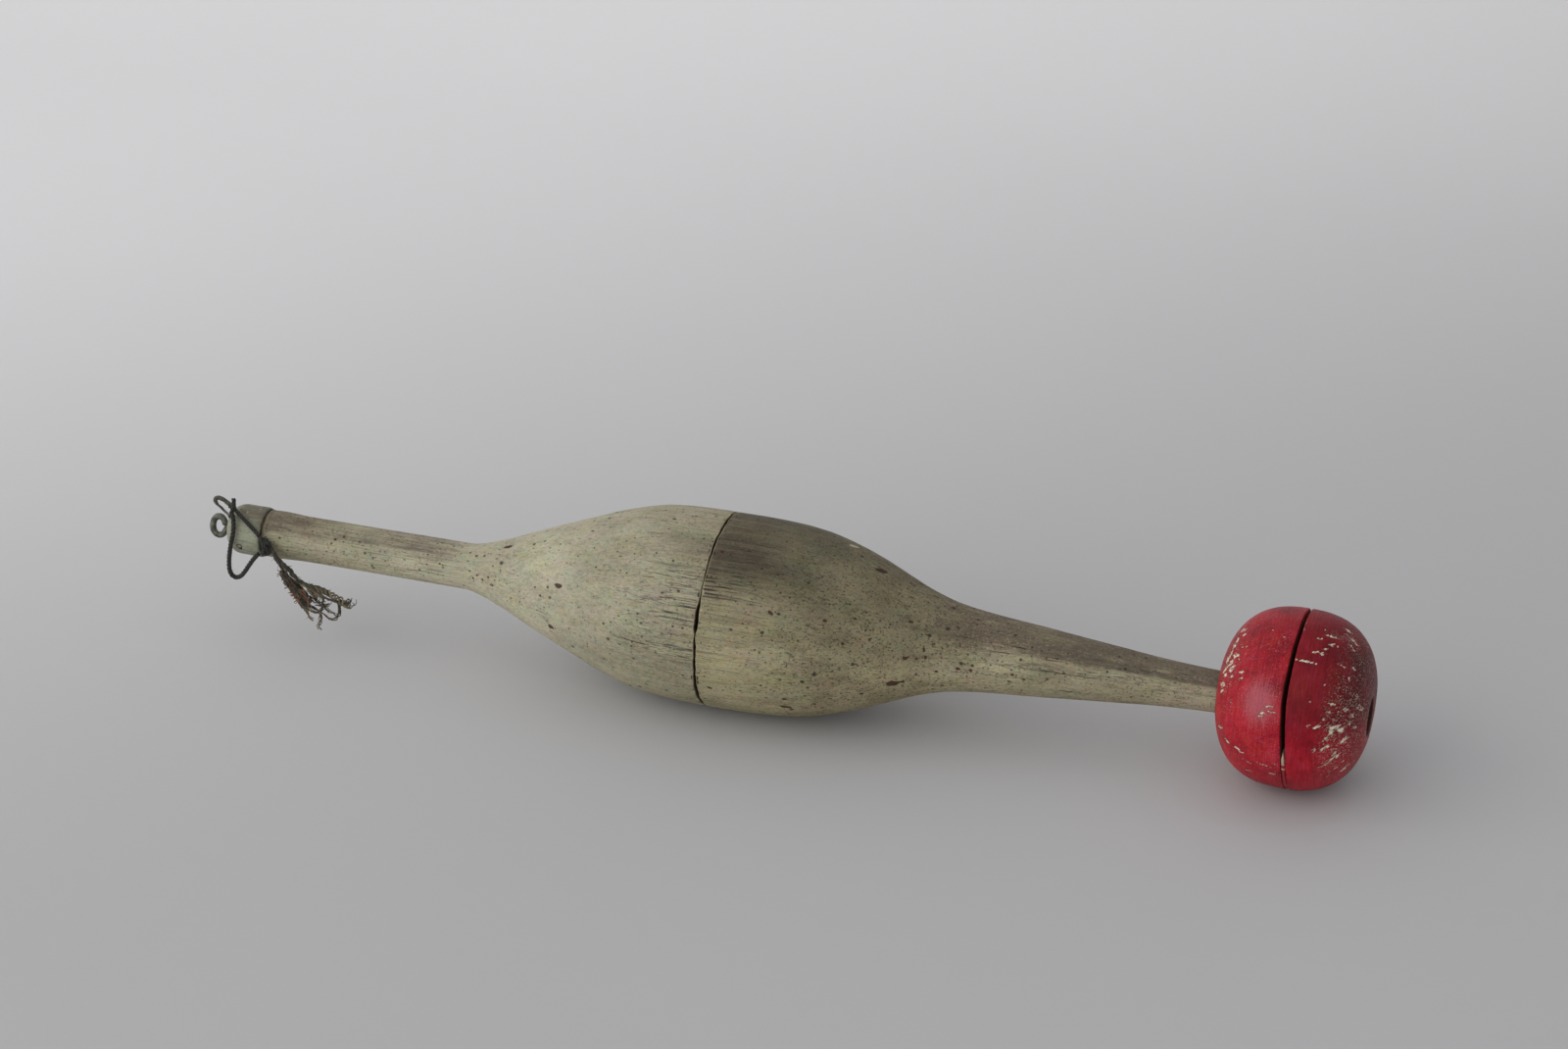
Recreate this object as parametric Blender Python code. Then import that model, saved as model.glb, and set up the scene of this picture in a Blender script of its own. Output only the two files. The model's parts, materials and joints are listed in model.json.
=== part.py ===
"""Drop spindle with a turned double-ended wooden shaft, a two-part red whorl, a capped tip with a
wire eye, and a knotted cord that ends in a frayed tassel. It lies at rest on a flat surface.

Frame: metres, +Z up, the floor at Z = 0, the spindle's axis in the XZ plane with the cap at -X and
the whorl at +X. The origin is the bottom centre of the whole object's box.

Every piece is laid out in shaft coordinates (mm): x runs along the shaft from the cap to the whorl,
y is the frame's Y, and z is perpendicular to both, upwards. The empty spindle_frame sets the shaft
down on the floor.
"""
import math

import bmesh
import bpy
from mathutils import Vector

MM = 0.001
GAP = 0.3                     # clearance between neighbouring pieces
SIDES = 40                    # facets round the large turned pieces, a multiple of 4
SMALL_SIDES = 32              # facets round the cap and the dowel
SHARP_ANGLE = math.radians(35)

# ---- cap ----
CAP_FACE = -1.2               # small flat at the very tip
CAP_FLAT_R = 2.3
CAP_R = 5.8
CAP_DOME_LENGTH = 3.6
CAP_DOME_STEPS = 5
CAP_END = 7.4                 # cap's lower edge
CAP_EDGE_LENGTH, CAP_EDGE_DROP = 0.4, 0.35   # bevel at that edge
GROOVE_R = 4.4                # neck left under the binding thread
SPIGOT_R, SPIGOT_END = 3.4, 19.0
SPIGOT_CHAMFER = 0.6
WIRE_BORE_R, WIRE_BORE_END = 1.05, 27.0

# ---- shaft ----
STEM_START = 8.6
NECK = 57.4                   # where the slim stem meets the body
SEAM = 118.4                  # butt joint across the widest part of the body
SEAM_GAP = 0.7
SHAFT_END = 261.5             # the taper stops short of the whorl's outer face
SHAFT_END_CHAMFER = 0.5
UPPER_STATIONS = (            # (distance, diameter)
    (STEM_START, 10.9), (11.0, 11.1), (18.0, 10.5), (36.0, 10.6), (52.0, 10.7), (NECK, 10.8),
    (60.0, 11.6), (66.0, 15.6), (74.0, 22.4), (84.0, 30.6), (94.0, 38.2), (103.0, 42.9),
    (112.0, 44.2), (SEAM - SEAM_GAP / 2, 44.4),
)
LOWER_STATIONS = (            # (distance, diameter)
    (SEAM + SEAM_GAP / 2, 44.4), (125.0, 44.4), (132.0, 43.9), (139.0, 42.4), (146.0, 39.2),
    (153.0, 34.4), (160.0, 28.7), (167.0, 23.1), (173.0, 19.9), (180.0, 17.9), (192.0, 15.8),
    (208.0, 12.7), (224.0, 10.0), (238.0, 8.9), (250.0, 8.2), (SHAFT_END, 7.5),
)
STATIONS_IN_WHORL = 3         # the last lower stations, hidden by the whorl
LOWER_FINE_FROM, LOWER_FINE_TO = 132.0, 190.0   # stretch with extra rings between stations
DOWEL_R = 5.0
DOWEL_CHAMFER = 1.0
SOCKET_DEPTH = 21.0           # in each half of the shaft
SOCKET_FLOOR_R = 2.0          # ring that bounds the centre of a socket's floor
DOWEL_HALF = SOCKET_DEPTH - 1.0

# ---- whorl ----
WHORL_R = 20.0
WHORL_MID = 249.6
WHORL_HALF = 17.2             # half length of the full superellipse
WHORL_POWER = 2.52            # 2 is an ellipse, higher is squarer at the shoulders
WHORL_FACE_R = 7.0            # radius of the small flat on each end
WHORL_OFFSET = (1.2, 0.9)     # (y, z) of the whorl's own axis against the bore's
WHORL_RING_STEPS = 7
WHORL_GAP = 1.0               # mean opening of the joint between its halves
WHORL_GAP_TILT = math.radians(1.0)      # slope of the outer half's joint face
WHORL_GAP_ROLL = math.radians(20)       # the joint is widest this far above -Y
BORE_RING_INNER, BORE_RING_OUTER = 241.0, 256.0   # bore's middle ring in each half
FILLER_FROM, FILLER_TO = math.radians(-171.0), math.radians(-60.0)   # from +Y, under the whorl
FILLER_STEPS = 16
FILLER_DEPTH = 3.6            # inner edge below the rim
FILLER_INSET = 0.25           # outer edge below the rim
FILLER_CLEARANCE = 0.12       # to each joint face

# ---- wire ----
EYE_X, EYE_RX, EYE_RZ = -3.95, 1.6, 2.15   # the eye's centre and half sizes
EYE_LEAN = -0.9               # y run of the turn of wire, so it clears itself
EYE_WIRE_R = 0.7
EYE_SHANK = (                 # from inside the shaft out to the start of the eye
    (25.0, 0, 0), (17.0, 0, 0), (9.0, 0, 0), (1.5, 0, 0), (-0.9, 0, 0), (-1.7, 0, -0.12),
    (-2.25, 0, -0.55),
)
TIE_R = 0.45
TIE = (
    (1.9, -1.0, 6.75), (0.3, -1.7, 6.55), (-1.1, -2.0, 6.95), (-2.4, -2.0, 8.1),
    (-3.4, -2.0, 8.15), (-3.9, -2.0, 7.3), (-3.3, -2.0, 6.5), (-2.5, -2.0, 5.7),
    (-1.7, -2.3, 5.1), (-0.7, -3.1, 5.05), (0.0, -3.7, 4.6),
)

# ---- cord: all paths are (x, y, z) points ----
THREAD_R, THREAD_RING_R = 0.28, 5.3
THREAD_X = (CAP_END + STEM_START) / 2
THREAD_STEPS = 28
CORD_R = 0.5
SPAN = (
    (0.2, -2.7, 8.4), (0.6, -2.95, 7.3), (1.7, -3.3, 6.35), (2.9, -3.9, 5.75),
    (4.9, -4.95, 4.8), (6.8, -5.75, 3.7), (8.1, -6.35, 2.9),
)
KNOT_CENTRE = (10.25, -7.0, 0.35)
KNOT_HALF_SIZE = (1.3, 1.0, 2.15)
KNOT_WAIST_DEPTH, KNOT_WAIST_SPREAD = 0.22, 0.28   # fractions of its radius and half height
LOOP_TOP = (0.6, -3.9, 6.0)   # the bight hangs from here to the last point
LOOP = (
    LOOP_TOP, (1.2, -4.7, 5.15), (1.85, -6.1, 3.2), (1.75, -6.7, 1.6), (1.3, -6.95, -0.6),
    (0.9, -6.8, -3.9), (0.8, -6.7, -7.2), (1.25, -6.7, -9.0), (2.35, -6.7, -9.5),
    (3.75, -6.7, -8.3), (5.25, -6.7, -6.0), (6.7, -6.85, -3.9), (8.2, -7.0, -2.2),
)

# ---- tassel ----
TASSEL_PIVOT = (12.0, -7.2, -0.6)
STRAND_R = 0.5
FRAY_R = 0.24
TASSEL_THINNING = 0.35        # share of the radius lost by the far end
FRONT_STRAND = (
    (12.1, -7.3, -0.7), (13.6, -7.4, -1.5), (15.2, -7.5, -2.7), (17.0, -7.6, -4.7),
    (18.9, -7.8, -6.2), (20.7, -7.9, -7.4), (23.5, -8.0, -8.2), (26.3, -8.0, -9.1),
    (28.6, -8.0, -10.0),
)
REAR_STRAND = (
    (12.5, -7.0, -2.5), (13.5, -7.0, -4.2), (14.3, -7.0, -6.1), (15.7, -7.0, -8.1),
    (17.0, -7.0, -10.2), (18.2, -7.0, -12.5), (18.8, -7.0, -14.0),
)
FRAYS = (   # one frayed yarn each: start, then bends; separate depths in y keep them apart
    ((29.4, -8.0, -10.6), (30.6, -8.3, -10.7), (31.3, -8.5, -9.9), (31.1, -8.7, -9.2)),
    ((29.2, -8.1, -11.4), (30.3, -8.6, -12.0), (31.5, -8.8, -11.6)),
    ((20.5, -9.0, -9.2), (23.0, -9.1, -10.4), (26.6, -9.1, -11.4), (28.3, -9.1, -13.0),
     (27.6, -9.1, -15.2), (25.8, -9.1, -15.4)),
    ((19.6, -6.0, -11.2), (21.8, -6.0, -13.2), (24.0, -6.0, -14.9), (26.4, -6.0, -16.0)),
    ((20.3, -7.0, -12.4), (21.9, -7.0, -14.8), (22.4, -7.0, -17.0), (23.2, -7.0, -19.2)),
    ((19.6, -8.3, -13.6), (20.4, -8.3, -15.9), (21.6, -8.3, -17.2), (20.9, -8.3, -18.2)),
    ((21.6, -7.0, -9.9), (24.0, -6.9, -11.2), (25.6, -6.8, -12.9), (24.3, -6.8, -13.9)),
    ((18.9, -5.2, -13.6), (20.2, -5.1, -15.3), (21.9, -5.1, -16.3), (23.1, -5.1, -15.4)),
)

for old in list(bpy.data.objects):
    bpy.data.objects.remove(old, do_unlink=True)


# ---------------------------------------------------------------- materials
def material(name, colour, roughness, metallic=0.0):
    mat = bpy.data.materials.new(name)
    mat.use_nodes = True
    shader = mat.node_tree.nodes["Principled BSDF"]
    shader.inputs["Base Color"].default_value = (*colour, 1)
    shader.inputs["Roughness"].default_value = roughness
    shader.inputs["Metallic"].default_value = metallic
    mat.diffuse_color = (*colour, 1)
    return mat


PAINT = material("weathered_paint", colour=(0.36, 0.33, 0.23), roughness=0.72)
BARE_WOOD = material("bare_wood", colour=(0.42, 0.29, 0.17), roughness=0.75)
CAP_PAINT = material("cap_paint", colour=(0.31, 0.32, 0.26), roughness=0.68)
RED = material("red_paint", colour=(0.42, 0.015, 0.03), roughness=0.38)
FILLER = material("cream_filler", colour=(0.62, 0.52, 0.36), roughness=0.8)
IRON = material("grey_wire", colour=(0.16, 0.17, 0.15), roughness=0.45, metallic=0.9)
CORD = material("tarred_cord", colour=(0.018, 0.022, 0.016), roughness=0.7)
FRAY = material("frayed_cord", colour=(0.13, 0.09, 0.04), roughness=0.85)


# ---------------------------------------------------------------- mesh helpers
def empty(name, at=(0, 0, 0), parent=None):
    helper = bpy.data.objects.new(name, None)
    bpy.context.collection.objects.link(helper)
    helper.location = Vector(at) * MM
    helper.parent = parent
    return helper


def finish(name, bm, mat, parent, origin=(0, 0, 0)):
    """Turn a bmesh in shaft coordinates into an object; origin is where its parent stands."""
    for v in bm.verts:
        v.co = (v.co - Vector(origin)) * MM
    bmesh.ops.recalc_face_normals(bm, faces=bm.faces[:])
    if bm.calc_volume(signed=True) < 0:
        bmesh.ops.reverse_faces(bm, faces=bm.faces[:])
    mesh = bpy.data.meshes.new(name)
    bm.to_mesh(mesh)
    bm.free()
    mesh.shade_smooth()
    mesh.set_sharp_from_angle(angle=SHARP_ANGLE)
    mesh.materials.append(mat)
    piece = bpy.data.objects.new(name, mesh)
    bpy.context.collection.objects.link(piece)
    piece.parent = parent


def loft(name, sections, mat, parent, origin=(0, 0, 0), closed=False):
    """A solid through equal-sized loops of points. closed joins the last loop to the first;
    otherwise both ends are capped."""
    bm = bmesh.new()
    rings = [[bm.verts.new(point) for point in section] for section in sections]
    pairs = list(zip(rings, rings[1:]))
    if closed:
        pairs.append((rings[-1], rings[0]))
    for near, far in pairs:
        for k in range(len(near)):
            following = (k + 1) % len(near)
            bm.faces.new((near[k], near[following], far[following], far[k]))
    if not closed:
        bm.faces.new(rings[0])
        bm.faces.new(rings[-1])
    finish(name, bm, mat, parent, origin)


def circle(sides, x, radius, centre=(0, 0), shift=None):
    """Points round the shaft's direction, with a flat facing down. shift(y, z) moves them in x."""
    points = []
    for k in range(sides):
        angle = 2 * math.pi * (k + 0.5) / sides
        y = centre[0] + radius * math.cos(angle)
        z = centre[1] + radius * math.sin(angle)
        points.append((x + (shift(y, z) if shift else 0.0), y, z))
    return points


def turned(name, profile, mat, parent, sides=SIDES, **options):
    """A turned solid; each profile entry is (x, radius) or (x, radius, centre, shift)."""
    loft(name, [circle(sides, *entry) for entry in profile], mat, parent, **options)


def spline(points, per_span):
    """Catmull-Rom through the control points."""
    p = [Vector(point) for point in points]
    p = [p[0] * 2 - p[1]] + p + [p[-1] * 2 - p[-2]]
    path = []
    for i in range(1, len(p) - 2):
        for k in range(per_span):
            t = k / per_span
            path.append(0.5 * (2 * p[i] + (p[i + 1] - p[i - 1]) * t
                               + (2 * p[i - 1] - 5 * p[i] + 4 * p[i + 1] - p[i + 2]) * t * t
                               + (3 * p[i] - p[i - 1] - 3 * p[i + 1] + p[i + 2]) * t**3))
    path.append(p[-2])
    return path


def sweep(name, path, radius, mat, parent, origin=(0, 0, 0), sides=8, closed=False, thinning=0.0):
    """A round strand along a path, with frames carried along it so that it does not twist."""
    count = len(path)
    sections, normal = [], None
    for i, centre in enumerate(path):
        ahead = path[(i + 1) % count] if (closed or i < count - 1) else centre
        behind = path[i - 1] if (closed or i > 0) else centre
        tangent = (ahead - behind).normalized()
        if normal is None:
            across = Vector((0, 1, 0)) if abs(tangent.y) < 0.9 else Vector((1, 0, 0))
            normal = tangent.cross(across).normalized()
        normal = (normal - tangent * normal.dot(tangent)).normalized()
        side = tangent.cross(normal)
        local_radius = radius * (1 - thinning * i / (count - 1))
        angles = [2 * math.pi * k / sides for k in range(sides)]
        sections.append([centre + (normal * math.cos(a) + side * math.sin(a)) * local_radius
                         for a in angles])
    loft(name, sections, mat, parent, origin=origin, closed=closed)


# ---------------------------------------------------------------- profiles
def smooth_profile(stations, x):
    """Radius at x on a monotone cubic through (distance, diameter) stations."""
    last = len(stations) - 1
    slopes = [(end[1] - start[1]) / (end[0] - start[0])
              for start, end in zip(stations, stations[1:])]

    def tangent(i):
        if i == 0 or i == last:
            return slopes[min(i, last - 1)]
        before, after = slopes[i - 1], slopes[i]
        return 0.0 if before * after <= 0 else 2 * before * after / (before + after)

    span = sum(1 for station in stations[1:-1] if station[0] <= x)
    (start_x, start_d), (end_x, end_d) = stations[span], stations[span + 1]
    length = end_x - start_x
    t = (x - start_x) / length
    diameter = ((2 * t**3 - 3 * t**2 + 1) * start_d
                + (t**3 - 2 * t**2 + t) * length * tangent(span)
                + (-2 * t**3 + 3 * t**2) * end_d
                + (t**3 - t**2) * length * tangent(span + 1))
    return diameter / 2


def shaft_rings(stations, fine_from, fine_to=math.inf):
    """(x, radius) at each station but the last, and midway where the next one is in the range."""
    places = []
    for (x, _), (next_x, _) in zip(stations, stations[1:]):
        places.append(x)
        if fine_from < next_x < fine_to:
            places.append((x + next_x) / 2)
    return [(x, smooth_profile(stations, x)) for x in places]


def whorl_radius(x):
    along = abs(x - WHORL_MID) / WHORL_HALF
    return WHORL_R * (1 - along**WHORL_POWER) ** (1 / WHORL_POWER)


def whorl_stations():
    """Ring positions along each half of the whorl, closer together on its shoulders."""
    near = WHORL_GAP / 2
    reach = WHORL_HALF * (1 - (WHORL_FACE_R / WHORL_R) ** WHORL_POWER) ** (1 / WHORL_POWER)
    between = [WHORL_HALF * math.sin(math.pi / 2 * k / WHORL_RING_STEPS)
               for k in range(1, WHORL_RING_STEPS + 1)]
    # rings too close to the joint or to the end flat are left out
    steps = [near] + [step for step in between if near + 1.0 < step < reach - 0.4] + [reach]
    return [WHORL_MID - step for step in reversed(steps)], [WHORL_MID + step for step in steps]


# ---------------------------------------------------------------- resting pose
def resting_tilt():
    """Whorl-end-down tilt at which the body and the whorl both touch the floor."""
    flat = math.cos(math.pi / SIDES)       # a facet's distance from the axis, as a share of radius
    inner, outer = whorl_stations()
    body = [(x, -diameter / 2 * flat)
            for x, diameter in UPPER_STATIONS + LOWER_STATIONS[:-STATIONS_IN_WHORL]]
    whorl = [(x, WHORL_OFFSET[1] - whorl_radius(x) * flat) for x in inner + outer]

    def lowest(underside, tilt):
        return min(-x * math.sin(tilt) + z * math.cos(tilt) for x, z in underside)

    low, high = 0.0, math.radians(4)
    for _ in range(60):
        middle = (low + high) / 2
        if lowest(whorl, middle) > lowest(body, middle):
            low = middle
        else:
            high = middle
    return (low + high) / 2


# ---------------------------------------------------------------- shaft
def build_end_cap(frame):
    dome = []
    for k in range(CAP_DOME_STEPS + 1):
        angle = math.pi / 2 * k / CAP_DOME_STEPS
        dome.append((CAP_FACE + CAP_DOME_LENGTH * (1 - math.cos(angle)),
                     CAP_FLAT_R + (CAP_R - CAP_FLAT_R) * math.sin(angle)))
    turned("end_cap", dome + [
        (CAP_END - CAP_EDGE_LENGTH, CAP_R), (CAP_END, CAP_R - CAP_EDGE_DROP),
        (CAP_END, GROOVE_R), (STEM_START - GAP, GROOVE_R),
        (STEM_START - GAP, SPIGOT_R), (SPIGOT_END - SPIGOT_CHAMFER, SPIGOT_R),
        (SPIGOT_END, SPIGOT_R - SPIGOT_CHAMFER),
        (SPIGOT_END, WIRE_BORE_R), (CAP_FACE, WIRE_BORE_R),
    ], CAP_PAINT, frame, sides=SMALL_SIDES, closed=True)


def dowel_socket(face, floor):
    radius = DOWEL_R + GAP
    return [(floor, SOCKET_FLOOR_R), (floor, radius), (face, radius)]


def build_upper_shaft(frame):
    face, diameter = UPPER_STATIONS[-1]
    outside = shaft_rings(UPPER_STATIONS, NECK) + [(face, diameter / 2)]
    spigot_hole = [(STEM_START, SPIGOT_R + GAP), (SPIGOT_END + GAP, SPIGOT_R + GAP)]
    wire_bore = [(SPIGOT_END + GAP, WIRE_BORE_R), (WIRE_BORE_END, WIRE_BORE_R)]
    turned("upper_shaft",
           dowel_socket(face, face - SOCKET_DEPTH) + outside[::-1] + spigot_hole + wire_bore,
           PAINT, frame)


def build_center_dowel(frame):
    start, end = SEAM - DOWEL_HALF, SEAM + DOWEL_HALF
    turned("center_dowel", [
        (start, DOWEL_R - DOWEL_CHAMFER), (start + DOWEL_CHAMFER, DOWEL_R),
        (end - DOWEL_CHAMFER, DOWEL_R), (end, DOWEL_R - DOWEL_CHAMFER),
    ], BARE_WOOD, frame, sides=SMALL_SIDES)


def build_lower_shaft(frame):
    face = LOWER_STATIONS[0][0]
    chamfer_x = SHAFT_END - SHAFT_END_CHAMFER
    tip = [(chamfer_x, smooth_profile(LOWER_STATIONS, chamfer_x)),
           (SHAFT_END, smooth_profile(LOWER_STATIONS, SHAFT_END) - SHAFT_END_CHAMFER)]
    turned("lower_shaft",
           dowel_socket(face, face + SOCKET_DEPTH)
           + shaft_rings(LOWER_STATIONS, LOWER_FINE_FROM, LOWER_FINE_TO) + tip,
           PAINT, frame)


# ---------------------------------------------------------------- whorl
def bore(x):
    return smooth_profile(LOWER_STATIONS, min(x, SHAFT_END)) + GAP


def stand_off(y, z):
    """How far the outer half's joint face stands off beyond the mean gap."""
    towards_front = z * math.sin(WHORL_GAP_ROLL) - y * math.cos(WHORL_GAP_ROLL)
    return towards_front * math.tan(WHORL_GAP_TILT)


def build_whorl(frame):
    origin = (WHORL_MID, 0, 0)
    axis = empty("whorl_slide_axis", origin, frame)
    inner, outer = whorl_stations()
    turned("whorl_inner_half",
           [(x, whorl_radius(x), WHORL_OFFSET) for x in inner]
           + [(x, bore(x)) for x in (inner[-1], BORE_RING_INNER, inner[0])],
           RED, axis, origin=origin, closed=True)
    joint = outer[0]
    turned("whorl_outer_half",
           [(joint, whorl_radius(joint), WHORL_OFFSET, stand_off)]
           + [(x, whorl_radius(x), WHORL_OFFSET) for x in outer[1:]]
           + [(x, bore(x)) for x in (outer[-1], BORE_RING_OUTER)]
           + [(joint, bore(joint), (0, 0), stand_off)],
           RED, axis, origin=origin, closed=True)
    build_seam_filler(axis, origin)


def build_seam_filler(axis, origin):
    """Strip in the underside of the joint: it follows the rim and the width of the opening."""
    def on_whorl(radius, angle):
        return (WHORL_OFFSET[0] + radius * math.cos(angle),
                WHORL_OFFSET[1] + radius * math.sin(angle))

    sections = []
    for k in range(FILLER_STEPS + 1):
        angle = FILLER_FROM + (FILLER_TO - FILLER_FROM) * k / FILLER_STEPS
        extra = stand_off(*on_whorl(WHORL_R, angle))
        half = (WHORL_GAP + extra) / 2 - FILLER_CLEARANCE
        middle = WHORL_MID + extra / 2
        top = on_whorl(WHORL_R - FILLER_INSET, angle)
        bottom = on_whorl(WHORL_R - FILLER_DEPTH, angle)
        sections.append([(middle - half, *top), (middle + half, *top),
                         (middle + half, *bottom), (middle - half, *bottom)])
    loft("whorl_seam_filler", sections, FILLER, axis, origin=origin)


# ---------------------------------------------------------------- wire
def build_eye_wire(frame):
    path = [Vector(point) for point in EYE_SHANK]
    turn = [math.radians(degrees) for degrees in range(-32, -340, -20)]
    for i, angle in enumerate(turn):
        path.append(Vector((EYE_X + EYE_RX * math.cos(angle),
                            EYE_LEAN * i / (len(turn) - 1),
                            EYE_RZ * math.sin(angle))))
    sweep("eye_wire", path, EYE_WIRE_R, IRON, frame, sides=10)


# ---------------------------------------------------------------- cord
def build_cap_thread(frame):
    angles = [2 * math.pi * k / THREAD_STEPS for k in range(THREAD_STEPS)]
    path = [Vector((THREAD_X, THREAD_RING_R * math.cos(a), THREAD_RING_R * math.sin(a)))
            for a in angles]
    sweep("cap_thread", path, THREAD_R, CORD, frame, sides=6, closed=True)


def build_cord_knot(frame):
    """Two turns of cord drawn tight, taken together as one waisted lump."""
    bm = bmesh.new()
    bmesh.ops.create_icosphere(bm, subdivisions=2, radius=1.0)
    for v in bm.verts:
        waist = 1 - KNOT_WAIST_DEPTH * math.exp(-(v.co.z / KNOT_WAIST_SPREAD) ** 2)
        shape = Vector((v.co.x * waist, v.co.y * waist, v.co.z))
        v.co = Vector(KNOT_CENTRE) + shape * Vector(KNOT_HALF_SIZE)
    finish("cord_knot", bm, CORD, frame)


def build_cord_loop(frame):
    hinge = empty("loop_hinge", LOOP_TOP, frame)
    sweep("cord_loop", spline(LOOP, 3), CORD_R, CORD, hinge, origin=LOOP_TOP)


def build_tassel(frame):
    hinge = empty("tassel_hinge", TASSEL_PIVOT, frame)
    for name, points, mat in (("tail_strand_front", FRONT_STRAND, CORD),
                              ("tail_strand_rear", REAR_STRAND, FRAY)):
        sweep(name, spline(points, 2), STRAND_R, mat, hinge, origin=TASSEL_PIVOT, sides=7,
              thinning=TASSEL_THINNING)
    for i, points in enumerate(FRAYS, 1):
        sweep(f"fray_yarn_{i}", spline(points, 4), FRAY_R, FRAY, hinge, origin=TASSEL_PIVOT,
              sides=6, thinning=TASSEL_THINNING)


# ---------------------------------------------------------------- assembly
def set_down(frame):
    """Put the bottom centre of the whole box at the world origin."""
    bpy.context.view_layer.update()
    corners = [piece.matrix_world @ v.co for piece in bpy.data.objects if piece.type == "MESH"
               for v in piece.data.vertices]
    low = [min(axis) for axis in zip(*corners)]
    high = [max(axis) for axis in zip(*corners)]
    frame.location -= Vector(((low[0] + high[0]) / 2, (low[1] + high[1]) / 2, low[2]))
    bpy.context.view_layer.update()


spindle = empty("spindle_frame")
spindle.rotation_euler = (0, resting_tilt(), 0)
build_end_cap(spindle)
build_upper_shaft(spindle)
build_center_dowel(spindle)
build_lower_shaft(spindle)
build_whorl(spindle)
build_eye_wire(spindle)
sweep("tie_wire", spline(TIE, 3), TIE_R, IRON, spindle)
build_cap_thread(spindle)
sweep("cord_span", spline(SPAN, 3), CORD_R, CORD, spindle)
build_cord_knot(spindle)
build_cord_loop(spindle)
build_tassel(spindle)
set_down(spindle)
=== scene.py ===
"""Looks of the drop spindle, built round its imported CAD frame.

Every piece is laid out in shaft coordinates in millimetres: x runs along the shaft from the
capped tip to the whorl, y is the frame's Y and z is perpendicular to both, upwards. The
frame's joints say where the shaft lies. Angles round the shaft are counted in degrees from
the front (-y) upwards.
"""
import itertools
import json
import math
from types import SimpleNamespace

import bpy
import numpy as np
from mathutils import Matrix, Vector

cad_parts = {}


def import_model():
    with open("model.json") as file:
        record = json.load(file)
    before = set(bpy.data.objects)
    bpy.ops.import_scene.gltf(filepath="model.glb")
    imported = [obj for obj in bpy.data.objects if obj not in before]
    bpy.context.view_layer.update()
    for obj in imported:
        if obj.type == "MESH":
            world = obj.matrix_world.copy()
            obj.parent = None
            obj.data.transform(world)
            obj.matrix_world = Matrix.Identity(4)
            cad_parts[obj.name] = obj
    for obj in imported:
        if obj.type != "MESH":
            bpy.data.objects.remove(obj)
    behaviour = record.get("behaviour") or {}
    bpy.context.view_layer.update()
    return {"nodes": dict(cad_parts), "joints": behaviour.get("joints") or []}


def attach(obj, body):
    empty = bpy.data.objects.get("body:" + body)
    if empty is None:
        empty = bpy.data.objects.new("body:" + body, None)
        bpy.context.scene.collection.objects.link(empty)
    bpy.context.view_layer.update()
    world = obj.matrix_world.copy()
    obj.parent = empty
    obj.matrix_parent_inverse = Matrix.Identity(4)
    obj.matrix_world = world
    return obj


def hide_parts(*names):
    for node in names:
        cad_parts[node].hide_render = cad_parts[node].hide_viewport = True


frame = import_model()

# ------------------------------------------------------------------ where the shaft lies
MM = 0.001
JOINTS = {joint["name"]: joint for joint in frame["joints"]}
ALONG = np.array(JOINTS["whorl_slide"]["axis"], float)
ALONG /= np.linalg.norm(ALONG)
SIDE = np.array((0.0, 1.0, 0.0))
BASIS = np.stack([ALONG, SIDE, np.cross(ALONG, SIDE)])
TASSEL_PIVOT = np.array((12.0, -7.2, -0.6))
ORIGIN = np.array(JOINTS["tassel_swing"]["pos_m"], float) - TASSEL_PIVOT * MM @ BASIS


def world(points):
    """Shaft coordinates in mm to world coordinates in metres."""
    return ORIGIN + np.asarray(points, float) * MM @ BASIS


# ------------------------------------------------------------------ the CAD's own sizes, mm
CAP_FACE, CAP_END, CAP_R, CAP_FLAT_R, GROOVE_R = -1.2, 7.4, 5.8, 2.3, 4.4
STEM_START, NECK, SEAM, SHAFT_END = 8.6, 57.4, 118.4, 261.5
SPIGOT_R, SPIGOT_END, WIRE_BORE_R, WIRE_BORE_END = 3.4, 19.0, 1.05, 27.0
DOWEL_R, DOWEL_HALF, GAP = 5.0, 21.0, 0.3
# place along the shaft, diameter
UPPER_STATIONS = (
    (STEM_START, 10.9), (11.0, 11.1), (18.0, 10.5), (36.0, 10.6), (52.0, 10.7), (NECK, 10.8),
    (60.0, 11.6), (66.0, 15.6), (74.0, 22.4), (84.0, 30.6), (94.0, 38.2), (103.0, 42.9),
    (112.0, 44.2), (118.05, 44.4))
LOWER_STATIONS = (
    (118.75, 44.4), (125.0, 44.4), (132.0, 43.9), (139.0, 42.4), (146.0, 39.2), (153.0, 34.4),
    (160.0, 28.7), (167.0, 23.1), (173.0, 19.9), (180.0, 17.9), (192.0, 15.8), (208.0, 12.7),
    (224.0, 10.0), (238.0, 8.9), (250.0, 8.2), (SHAFT_END, 7.5))
UPPER_FACE, LOWER_FACE = UPPER_STATIONS[-1][0], LOWER_STATIONS[0][0]
WHORL_R, WHORL_MID, WHORL_HALF, WHORL_POWER, WHORL_FACE_R = 20.0, 249.6, 17.2, 2.52, 7.0
WHORL_OFF = (1.2, 0.9)      # the whorl's own axis, off the shaft's in y and z
WHORL_GAP, WHORL_GAP_TILT, WHORL_GAP_TURN = 0.75, math.radians(1.0), math.radians(20)
WHORL_REACH = WHORL_HALF * (1 - (WHORL_FACE_R / WHORL_R) ** WHORL_POWER) ** (1 / WHORL_POWER)
EYE_X, EYE_RX, EYE_RZ, EYE_WIRE_R = -3.95, 1.6, 2.15, 0.74


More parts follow.
